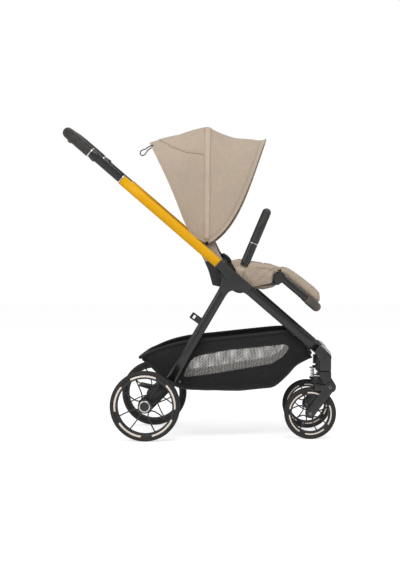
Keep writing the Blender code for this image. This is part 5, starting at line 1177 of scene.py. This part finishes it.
def hingeParts(sign, v=backValues):
    # an ear round the recline pin, a lug that carries the canopy's pin, and that pin with its cap
    px, pz = canopyValues["pivot"][0], canopyValues["pivot"][2]
    top = [(backBase + v["earTop"] * backWay + out * backUp)[::2] for out in (0.001, 0.020)]
    ear = np.vstack([np.add(pivots["recline"], v["ear"]), top])
    root, way = np.array([px, pz]) - backUp[::2] * 0.034, backWay[::2]
    a = np.radians(np.linspace(114.5, -65.5, 12))
    lug = np.vstack([root - way * 0.016, root + way * 0.016,
                     xyz(px + 0.0070 * np.cos(a), pz + 0.0070 * np.sin(a))])
    half = v["half"]
    return [block("ear", roundedCorners(ear, 0.003, 3), sign * (half - 0.0072), sign * (half + 0.0045),
                  "plasticDark", 0.0009, 40),
            block("lug", lug, sign * (half - 0.003), sign * (half + 0.0012), "plasticDark", 0.0006, 40),
            disc("pin", 0.004, sign * (half - 0.002), sign * v["pin"], (px, pz), "screw", 24),
            disc("cap", 0.0062, sign * v["cap"][0], sign * v["cap"][1], (px, pz), "plastic", 40)]


def buildBackrest(v=backValues):
    profile = backProfile(v)
    s = 1 - (1 - np.linspace(0, 1, 70)) ** 1.4
    along = v["low"] + (v["high"] - v["low"]) * s
    ends = np.minimum(np.clip(np.minimum(s, 1 - s) / 0.012, 0, 1) ** 0.5 + 0.25, 1)
    y = profile[None, :, 0] * narrowed(s)[:, None]
    out = profile[None, :, 1] * np.ones_like(s)[:, None]
    # the side wings stand out further beside the lower back
    wing = (read(along, v["reach"])[:, None] - v["wall"]) / (v["wing"] - v["wall"])
    out = np.where(out > v["wall"], v["wall"] + (out - v["wall"]) * wing, out)
    off = out - v["middle"]
    out = v["middle"] + off * np.where(np.abs(off) < 0.004, ends[:, None], 1)
    folds = np.sin(23 * s[:, None] * 3.1 + 30 * y) * np.cos(26 * y + 1.5) * (profile[None, :, 1] < 0.004)
    point = backBase + along[:, None, None] * backWay + (out - np.abs(0.0008 * folds))[..., None] * backUp
    point[..., 1] = y
    shell = painted(fill("backrestCover", point, wrapV=True, caps=True), "seatClothUv")
    place(shell, "backrest", "fabric", "backrest_shell")
    placeAll("backrestHinges", hingeParts(-1) + hingeParts(1), "backrest", "moulding")
    trims = []
    s = np.linspace(0.03, 0.985, 150)
    wide, along = v["half"] * narrowed(s), v["low"] + (v["high"] - v["low"]) * s
    line = backBase + along[:, None] * backWay + read(along, v["reach"])[:, None] * backUp
    for sign in (-1, 1):
        trims += [sweep("wingPiping", line + aside(sign * wide * 0.979), oval(0.0052, 0.0046, 12), "piping"),
                  stitches("wingStitch", line - backUp * 0.007 + aside(sign * (wide + 0.0002)), (0, sign, 0))]
    for a in v["seams"]:
        y = np.linspace(-0.93, 0.93, 90) * v["half"] * (1 if a < 0.35 else 0.985)
        line = backBase + a * backWay - 0.0004 * backUp + aside(y)
        # painted shade: each seam across the back is a cord in the darker seam cloth
        trims += [sweep("backSeam", line, oval(0.0024, 0.0016, 8), "seamShade", up=backUp),
                  stitches("backStitch", line + 0.005 * backWay, -backUp)]
    placeAll("backrestTrim", trims, "backrest", "fabric")
    print("backrest made")


buildBackrest()

# harness: ribbed webbing over the backrest pad, with a slider on each strap and the buckle's button
strapValues = {"wide": 0.026, "thick": 0.0022, "bar": (0.0036, 0.0030), "slider": (0.0165, 0.0085),
               "from": [(0.122, 0.034), (0.20, 0.045), (0.30, 0.050), (0.402, 0.050)],
               "hip": [(0.0885, 0.050, 0.6165), (0.0835, 0.100, 0.6135), (0.0785, 0.148, 0.6120)],
               "across": (-0.0075, 0.0, 0.0075), "along": (-0.0158, 0.0158),
               "button": ((0.0115, 0.0085), (0.0115, 0.0104), (0.0105, 0.0114), (0.0060, 0.0118),
                          (0.0005, 0.0119))}


def buildHarness(v=strapValues):
    buckle = np.array(buckleTo)
    a = np.linspace(0.402, 0.122, 40)
    laid = surfaceLine("backPadCloth", a, read(a, v["from"]), 0.0014)
    (wide, long), section, t = v["slider"], oval(*v["bar"], 12, 3.0), np.linspace(-1, 1, 9)
    for side, sign in sides:
        end = [buckle + buckleWay * reach + (0, sign * y, z) for reach, y, z in
               ((0.030, 0.019, 0.001), (0.015, 0.016, -0.001))]
        line = curveThrough(np.vstack([(laid * (1, sign, 1))[::4], end]), 70)
        place(sweep("shoulderStrap_" + side, line, oval(v["wide"], v["thick"], 20, 6.0), "web", up=backUp),
              "backrest", "webbing", "shoulder_strap_" + side)
        hip = curveThrough(np.vstack([buckle + (0, 0.016, -0.002), v["hip"]]) * (1, sign, 1), 40)
        place(sweep("hipStrap_" + side, hip, oval(0.0022, 0.024, 20, 6.0), "web", up=ray(138)), "seat",
              "webbing")
        spot = line[28] + backUp * 0.0022
        paths = [spot + backWay * shift + aside(t * wide) for shift in v["across"]]
        paths += [spot + aside(shift) + (t * long)[:, None] * backWay for shift in v["along"]]
        bars = [sweep("bar", path, section, "plasticDark", backUp, roundEnds(9, 0.08, 0.5)) for path in paths]
        placeAll("strapSlider_" + side, bars, "backrest", "moulding")
    a = fullTurn(40)
    rings = [buckle + lift * buckleUp + radius * np.cos(a)[:, None] * buckleWay + aside(radius * np.sin(a))
             for radius, lift in v["button"]]
    button = fill("buckleButton", np.array(rings), wrapV=True, caps=True, sharp=50)
    place(painted(button, "plastic"), "seat", "moulding")
    print("harness made")


buildHarness()

# basket: a lofted sling with net windows in both sides, a bound rim and soft folds
basketValues = {
    "rim": [(-0.2040, 0.166, 0.2805), (-0.1195, 0.186, 0.3165), (-0.0425, 0.196, 0.3350),
            (0.0555, 0.200, 0.3455), (0.2085, 0.200, 0.3620), (0.2855, 0.185, 0.3690),
            (0.3305, 0.170, 0.3640), (0.3655, 0.163, 0.3285), (0.3915, 0.144, 0.2835)],
    "floor": [(-0.2080, 0.2775), (-0.1805, 0.2550), (-0.1566, 0.2310), (-0.1195, 0.1985), (-0.0545, 0.1690),
              (0.0445, 0.1655), (0.1265, 0.1640), (0.2085, 0.1705), (0.2620, 0.1800), (0.3071, 0.2170),
              (0.3399, 0.2510), (0.3940, 0.2795)],
    "windowTop": [(-0.0538, 0.2180), (-0.0500, 0.2330), (-0.0319, 0.2692), (-0.0150, 0.2840), (0.001, 0.2911),
                  (0.0994, 0.3103), (0.2084, 0.3213), (0.2850, 0.3290), (0.3020, 0.3285), (0.3100, 0.3220),
                  (0.3123, 0.3130)],
    "windowLow": [(-0.0538, 0.2180), (-0.0500, 0.2128), (-0.0429, 0.2119), (0.0446, 0.2229), (0.1539, 0.2421),
                  (0.2523, 0.2585), (0.2907, 0.2829), (0.3070, 0.3030), (0.3123, 0.3130)],
    "section": [(0, 1.0), (0.35, 0.98775), (0.72, 0.948), (0.93, 0.8635), (1.0, 0.75)],
    "wall": 0.0016, "bulge": 0.0032, "band": 0.017, "columns": (-0.0975, 0.3245), "studs": (0.3305, 0.3620)}
basketLines = {key: curveThrough(basketValues[key], count) for key, count in
               (("rim", 200), ("floor", 200), ("section", 120))}


def basketHeights(x):
    # top and floor of the sling at x, the floor always a little below the top
    zRim = read(x, basketLines["rim"], 2) - 0.005
    return zRim, np.minimum(read(x, basketLines["floor"]), zRim - 0.004)


def basketAt(x, share, sign, v=basketValues):
    # side of the sling: from the rim (share 0) down to the floor (1), drawn in by the section's share of the
    # rim's half width; a slight belly and long folds are added across
    zRim, zLow = basketHeights(x)
    deep = np.clip((zRim - zLow) / 0.12, 0, 1)
    draw = read(x, basketLines["rim"]) * read(share, basketLines["section"])
    belly = v["bulge"] * np.sin(np.pi * np.clip(share, 0, 1)) * deep
    folds = 0.0014 * np.sin(38 * x + 5 * share) + 0.0009 * np.sin(83 * x - 7 * share + 1)
    folds = folds * np.clip(share * 2, 0, 1) * deep
    return xyz(x, sign * (draw + belly + folds), zRim - (zRim - zLow) * share)


def shareAt(x, z):
    zRim, zLow = basketHeights(x)
    return np.clip((zRim - z) / (zRim - zLow), 0, 1)


def buildSling(x, xWin, v=basketValues):
    # walls above and below the windows, floor and end lips, welded to one sheet
    x0, x1 = xWin[0], xWin[-1]
    inside = (x >= x0) & (x <= x1)
    zMid = np.interp(x, [x0, x1], [v["windowTop"][0][1], v["windowTop"][-1][1]])
    shares = [shareAt(x, np.where(inside, read(x, v[key]), zMid)) for key in ("windowTop", "windowLow")]
    middle = np.clip(shares[0], 0.02, 0.98)
    top, low = (np.where(inside, share, middle)[:, None] for share in shares)
    col, up, across = x[:, None], np.linspace(0, 1, 16), np.linspace(-1, 1, 41)
    grids = [("wall", basketAt(col, share, sign))
             for sign in (-1, 1) for share in (top * up, low + (1 - low) * up)]
    right = basketAt(col, np.ones((len(x), 1)), 1)
    flat = 1 - np.clip((right[..., 2] - 0.16) / 0.1, 0, 1)
    ripple = 0.0012 * np.sin(55 * col) * np.cos(9 * across) * flat
    grids.append(("floorPanel", xyz(col, right[..., 1] * across,
                                    right[..., 2] - 0.0015 * (1 - across ** 2) + ripple)))
    for end in (x[0], x[-1]):
        edge = basketAt(np.full((8, 1), end), np.linspace(0, 1, 8)[:, None], 1)
        grids.append(("lip", xyz(edge[..., 0], edge[..., 1] * np.linspace(-1, 1, 21), edge[..., 2])))
    sling = joined("basketCloth", [painted(fill(name, grid), "basketCloth") for name, grid in grids])

    def welded(form):
        bmesh.ops.remove_doubles(form, verts=form.verts, dist=0.0002)
        outwards(form)

    reshaped(sling.data, welded)
    place(thicken(sling, v["wall"], 0), "chassis", "basket_cloth", "basket")


def buildBasket(v=basketValues):
    x0, x1 = v["windowTop"][0][0], v["windowTop"][-1][0]
    xWin = x0 + (x1 - x0) * 0.5 * (1 - np.cos(np.linspace(0, np.pi, 81)))
    x = np.r_[np.linspace(-0.1975, x0, 34)[:-1], xWin, np.linspace(x1, 0.3905, 24)[1:]]
    buildSling(x, xWin)
    top, low = (shareAt(xWin, read(xWin, v[key])) for key in ("windowTop", "windowLow"))
    trims = []
    for side, sign in sides:
        shares = top[:, None] + (low - top)[:, None] * np.linspace(0, 1, 24)
        grid = basketAt(xWin[1:-1, None], shares[1:-1], sign)
        net = painted(fill("basketNet_" + side, grid - aside(sign * 0.0002)), "net")
        loops = np.empty(len(net.data.loops), np.int32)
        net.data.loops.foreach_get("vertex_index", loops)
        uv = grid[..., ::2].reshape(-1, 2)[loops]
        net.data.uv_layers[0].data.foreach_set("uv", uv.astype(np.float32).ravel())
        place(net, "chassis", "basket_cloth")
        loop = np.vstack([basketAt(xWin, top, sign), basketAt(xWin, low, sign)[::-1][1:-1]])
        trims.append(sweep("windowBinding", closedEvenly(loop + aside(sign * 0.0012), 259),
                           oval(0.0052, 0.0024, 10, 3.0), "basketTrim", wrapU=True))
        share = np.clip(shareAt(x, basketAt(x, 0 * x, sign)[:, 2] - v["band"]), 0, 0.9)
        line = basketAt(x, share, sign) + aside(sign * 0.0011)
        trims.append(sweep("bandSeam", evenly(line, 180), oval(0.0018, 0.0014, 8), "basketTrim"))
        for at in v["columns"]:
            column = basketAt(np.full(40, at), np.linspace(0.03, 0.97, 40), sign) + aside(sign * 0.0011)
            trims.append(sweep("sideSeam", column, oval(0.0034, 0.0018, 8), "basketTrim", up=(1, 0, 0)))
        line = basketAt(x, np.full(len(x), 0.90), sign) + (0, sign * 0.0010, -0.0003)
        trims.append(sweep("floorSeam", evenly(line, 180), oval(0.0030, 0.0020, 8), "basketTrim"))
    placeAll("basketTrim", trims, "chassis", "basket_cloth")
    rim = curveThrough(v["rim"], 90)
    around = curveThrough(np.vstack([rim * (1, -1, 1), rim[::-1]])[::3], 240, closed=True)
    hem = [sweep("rimSleeve", around, oval(0.0112, 0.0112, 18), "basketTrim", up=(0, 0, 1), wrapU=True)]
    hem += [disc("stud", 0.0075, sign * 0.168, sign * 0.1790, v["studs"], "plasticDark", 32)
            for _, sign in sides]
    placeAll("basketRimCloth", hem, "chassis", "basket_cloth", "basket_rim")
    print("basket made")


buildBasket()

# handle grip, bumper bar and footrest sleeve: leatherette carried round their bends, sewn inside the curve
gripValues = {"radius": 0.0187, "half": 0.221, "from": 0.6423, "to": 0.7504, "bend": 0.045}
bumperValues = {"foot": inPlane((0.160, 0.6083)), "way": ray(67.0), "from": 0.0735, "to": 0.1875,
                "half": 0.183, "radius": 0.0156, "bend": 0.062}
sleeveValues = {"from": 0.120, "to": 0.165, "off": 0.0055, "half": 0.189, "bend": 0.045, "radius": 0.0160}


def uPath(base, way, v, count=150):
    # right side, a quarter round, across, a quarter round and back along the left side
    start, end = base + way * v["from"], base + way * v["to"]
    a = np.radians(np.linspace(0, 90, 16))[:, None]
    corner = end - way * v["bend"] * (1 - np.sin(a)) + yHat * (v["bend"] * (1 - np.cos(a)) - v["half"])
    right = np.vstack([start - aside(v["half"]), corner])
    return evenly(np.vstack([right, (right * (1, -1, 1))[::-1]]), count)


def seamOn(path, way, radius, name, angle=0):
    # ridge of thread pressed into a tube's surface, at an angle round the tube from its own plane's normal
    tangent = unit(np.gradient(path, axis=0))
    normal = np.broadcast_to(unit(np.cross(way, yHat)), tangent.shape)
    a = math.radians(angle)
    out = math.cos(a) * unit(np.cross(tangent, normal)) + math.sin(a) * normal
    return stitches(name, path + out * (radius - 0.0003), out, "gripThread", 0.0036, 0.0022, 0.0010)


def leather(name, path, radius, sections, look, up, *ends):
    # round sleeve along a path, a little smaller at its very ends
    return sweep(name, path, oval(2 * radius, 2 * radius, sections), look, up, endSizes(len(path), *ends))


def buildGrip(v=gripValues):
    path, radius = uPath(hubAt, handleWay, v), v["radius"]
    grip = leather("gripLeather", path, radius, 44, "grip", unit(np.cross(handleWay, yHat)), 0.90, 0.975)
    place(grip, "handle_upper", "leather", "handle_grip")
    parts = [seamOn(path, handleWay, radius, "gripSeam", angle) for angle in (12, -12)]
    run = v["from"] + np.array([-0.0022, -0.0018, 0.0020, 0.0024])
    for _, sign in sides:
        ring = hubAt + run[:, None] * handleWay + aside(sign * v["half"])
        parts.append(sweep("gripRing", ring, oval(0.0372, 0.0372, 40), "ring",
                           grow=endSizes(4, 0.95), sharp=40))
    placeAll("gripDetails", parts, "handle_upper", "steel")


def buildBumper(v=bumperValues):
    foot, way = v["foot"], v["way"]
    path, up = uPath(foot, way, v), unit(np.cross(way, yHat))
    cover = [leather("bumperLeather", path, v["radius"], 40, "bumperGrip", up, 0.93)]
    peg = np.linspace(0.026, v["from"] + 0.002, 4)
    ring = v["from"] + np.array([-0.0030, -0.0027, -0.0004, 0.0])
    socket = np.array([-0.0050, -0.0046, -0.0035, 0.003, 0.030, 0.060, 0.0690, 0.0704, 0.0709])
    sockets = []
    for _, sign in sides:
        middle = foot + aside(sign * v["half"])
        cover += [sweep("peg", middle + peg[:, None] * way, oval(0.0165, 0.0165, 28), "ring"),
                  sweep("ring", middle + ring[:, None] * way, oval(0.0306, 0.0306, 40), "ring",
                        grow=np.array([0.96, 1.0, 1.0, 0.97]), sharp=40)]
        line = middle + socket[:, None] * way
        sockets.append(sweep("socket", line, oval(0.0310, 0.0285, 40, 2.3), "plastic",
                             grow=np.r_[0.90, 0.96, np.ones(5), 0.98, 0.94]))
        for low, high in ((0.016, 0.030), (0.036, 0.050)):
            corners = [(foot + a * way + b * up)[::2] for a, b in
                       ((low, -0.005), (low, 0.005), (high, 0.005), (high, -0.005))]
            # painted shade: each slot in the socket is a flat patch in the darker recess look, standing a
            # hair proud
            sockets.append(block("recessShade", roundedCorners(corners, 0.0018, 3), sign * (v["half"] + 0.010),
                                 sign * (v["half"] + 0.01445), "recessShade", 0.0005))
    cover.append(seamOn(path, way, v["radius"], "barSeam"))
    placeAll("bumperCover", cover, "bumper", "leather", "bumper_bar")
    placeAll("bumperSockets", sockets, "seat", "moulding")


def buildSleeve(v=sleeveValues):
    path = uPath(footBase + footUp * v["off"], footWay, v)
    sleeve = leather("footrestLeather", path, v["radius"], 36, "sleeve", footUp, 0.90, 0.97)
    place(sleeve, "footrest", "leather", "footrest_sleeve")
    place(seamOn(path, footWay, v["radius"], "sleeveSeam"), "footrest", "leather")


buildGrip()
buildBumper()
buildSleeve()
print("grips made")


# small fittings: screw heads and covers, the ribbed insert behind each elbow, the knee discs' inner rings
def heads(rows, y, out):
    # screw heads and covers: discs with a finely rounded rim, out from y by a near and a far distance
    return [disc("head", radius, y + out * near, y + out * far, at, look, steps,
                 min(0.0006, (far - near) * 0.4)) for at, radius, near, far, look, steps in rows]


def bar(name, x, z, y, half):
    # bar across the caster's elbow, from its x and z limits
    corners = [(x[0], z[0]), (x[1], z[0]), (x[1], z[1]), (x[0], z[1])]
    return block(name, corners, y - half, y + half, "plasticDark", 0.0006)


elbowAt = (0.431, 0.281)
fittingValues = {
    "caster": 0.176, "swivel": 0.435,
    "elbow": ((elbowAt, 0.0062, 0.0190, 0.0203, "plasticDark", 40),
              (elbowAt, 0.0046, 0.0195, 0.0207, "plastic", 32)),
    # painted shade: each arm screw's hex socket is a flat dark hexagon on its head, not a hole
    "arm": ((pivots["arm"], 0.0058, 0.0254, 0.0270, "screw", 24),
            (pivots["arm"], 0.0030, 0.0262, 0.0272, "plasticDark", 6)),
    "knee": ((pivots["knee"], 0.0140, 0.2018, 0.2034, "plastic", 56),
             (pivots["knee"], 0.0105, 0.2030, 0.2042, "plasticDark", 48)),
    "leg": (((-0.0905, 0.1960), 0.0036, 0.2405, 0.2418, "screw", 24),
            ((-0.0640, 0.2010), 0.0036, 0.2330, 0.2345, "screw", 24)),
    "band": [(0.0206, 0.2331), (0.0209, 0.2336), (0.0209, 0.2341), (0.0204, 0.2345), (0.0190, 0.2345),
             (0.0190, 0.2331)],
    "cuff": 0.4165 + np.array([0.0, 0.0004, 0.0030, 0.0034]), "cuffSize": endSizes(4, 0.97),
    "ribs": np.arange(0.238, 0.268, 0.0042), "rib": 0.0022}


def buildFittings(v=fittingValues):
    r, z = np.array(v["band"]).T
    a = fullTurn(64)[:, None]
    for side, sign in sides:
        y = sign * v["caster"]
        elbow, arm = (heads(v[key], y, -1) + heads(v[key], y, 1) for key in ("elbow", "arm"))
        elbow += [bar("rib", (0.4055, 0.4165), (low, low + v["rib"]), y, 0.0135) for low in v["ribs"]]
        elbow.append(bar("back", (0.4095, 0.4165), (0.2365, 0.2700), y, 0.0125))
        # painted shade: the swivel joint's gap is a thin band in the darker recess look
        band = xyz(v["swivel"] + np.cos(a) * r, y + np.sin(a) * r, z)
        elbow.append(painted(fill("swivelBand", band, wrapU=True, wrapV=True), "recessShade"))
        placeAll("elbowFittings_" + side, elbow, "chassis", "moulding")
        placeAll("armScrews_" + side, arm, "arm_" + side, "steel")
        placeAll("kneeDisc_" + side, heads(v["knee"], 0, sign), "footrest", "moulding")
        placeAll("legScrews_" + side, heads(v["leg"], 0, sign), "rear_frame", "steel")
        line = hubAt + v["cuff"][:, None] * legWay + aside(sign * tubeValues["y"])
        cuff = sweep("legCuff_" + side, line, oval(0.0352, 0.0236, 40, 3.0), "plastic", grow=v["cuffSize"])
        place(cuff, "rear_frame", "moulding")
    print("fittings made")


# storage latch: a rounded tab that stands out from the rear leg, with a slot through it
latchValues = {"foot": (0.0021, 0.4108), "lean": 144.5, "from": -0.009, "to": 0.0335, "half": 0.0115,
               "slotAt": 0.0205, "slot": (0.0042, 0.0066)}


def buildLatch(v=latchValues):
    out, across = ray(v["lean"]), ray(v["lean"] - 90)
    middle = inPlane(v["foot"]) + out * v["slotAt"]

    def rounded(low, high, half, radius):
        corners = [(high, -half), (high, half), (low, half), (low, -half)]
        return closedEvenly(roundedCorners(corners, radius, 5), 64)

    outer = rounded(v["from"] - v["slotAt"], v["to"] - v["slotAt"], v["half"], 0.0032)
    inner = rounded(-v["slot"][0], v["slot"][0], v["slot"][1], 0.0016)
    y = coordinates(nodes["fold_latch"].data)[:, 1]
    near, far = y.min(), y.max()
    rings = [middle + share * (line[:, :1] * out + line[:, 1:] * across) + aside(y) for line, share, y in
             ((inner, 1, near), (outer, 0.95, near), (outer, 1, near + 0.0012), (outer, 1, far - 0.0012),
              (outer, 0.95, far), (inner, 1, far))]
    latch = fill("latchTab", np.array(rings), wrapU=True, wrapV=True, sharp=40)
    place(painted(latch, "plasticDark"), "rear_frame", "moulding", "fold_latch")
    print("latch made")


buildFittings()
buildLatch()

# floor and light: white round the object for the camera, a plain soft level on the object itself
stageValues = {"ambient": 0.47, "floorWhite": 0.64, "floorGlow": 0.68, "aim": (0.05, 0, 0.5),
               "lamps": (("key", (0.9, -2.6, 3.6), 2.6, 66.0), ("fill", (-2.3, -2.7, 2.5), 1.5, 46.0),
                         ("rim", (0.4, 2.8, 3.2), 2.6, 20.0))}


def backgroundRays(tree):
    # 1 for what is seen straight, mirrored or through glass
    path = add(tree, "LightPath", {}).node.outputs
    seen = maths("MAXIMUM", path["Is Camera Ray"], path["Is Glossy Ray"])
    return maths("MAXIMUM", seen, path["Is Transmission Ray"])


def buildStage(v=stageValues):
    floor = fill("floor", xyz(np.linspace(-14, 14, 3)[:, None], np.linspace(-8, 14, 3), 0.0))
    look, tree, shader = newLook("floorPaint", (v["floorWhite"],) * 3, 0.9, specular=0.0)
    strength = maths("MULTIPLY", backgroundRays(tree), v["floorGlow"])
    glow = add(tree, "Emission", {"Color": (1, 1, 1, 1), "Strength": strength})
    both = add(tree, "AddShader", {0: shader.outputs[0], 1: glow})
    fillIn(tree.nodes["Material Output"], {"Surface": both})
    floor.data.materials.append(look)
    if floor.data.polygons[0].normal.z < 0:
        floor.data.flip_normals()
    world = bpy.data.worlds.new("studio")
    bpy.context.scene.world = world
    world.use_nodes = True
    seen = add(world.node_tree, "LightPath", {}, "Is Camera Ray")
    fillIn(world.node_tree.nodes["Background"], {"Color": (1, 1, 1, 1),
                                                 "Strength": spread(seen, 0, 1, v["ambient"], 1.0)})
    for name, spot, size, power in v["lamps"]:
        lamp = linked(name, bpy.data.lights.new(name, "AREA"))
        lamp.data.shape, lamp.data.size, lamp.data.energy = "DISK", size, power
        lamp.location = spot
        lamp.rotation_euler = (Vector(v["aim"]) - Vector(spot)).to_track_quat("-Z", "Y").to_euler()
    bpy.context.scene.view_settings.view_transform = "Standard"
    print("stage and light set")


buildStage()
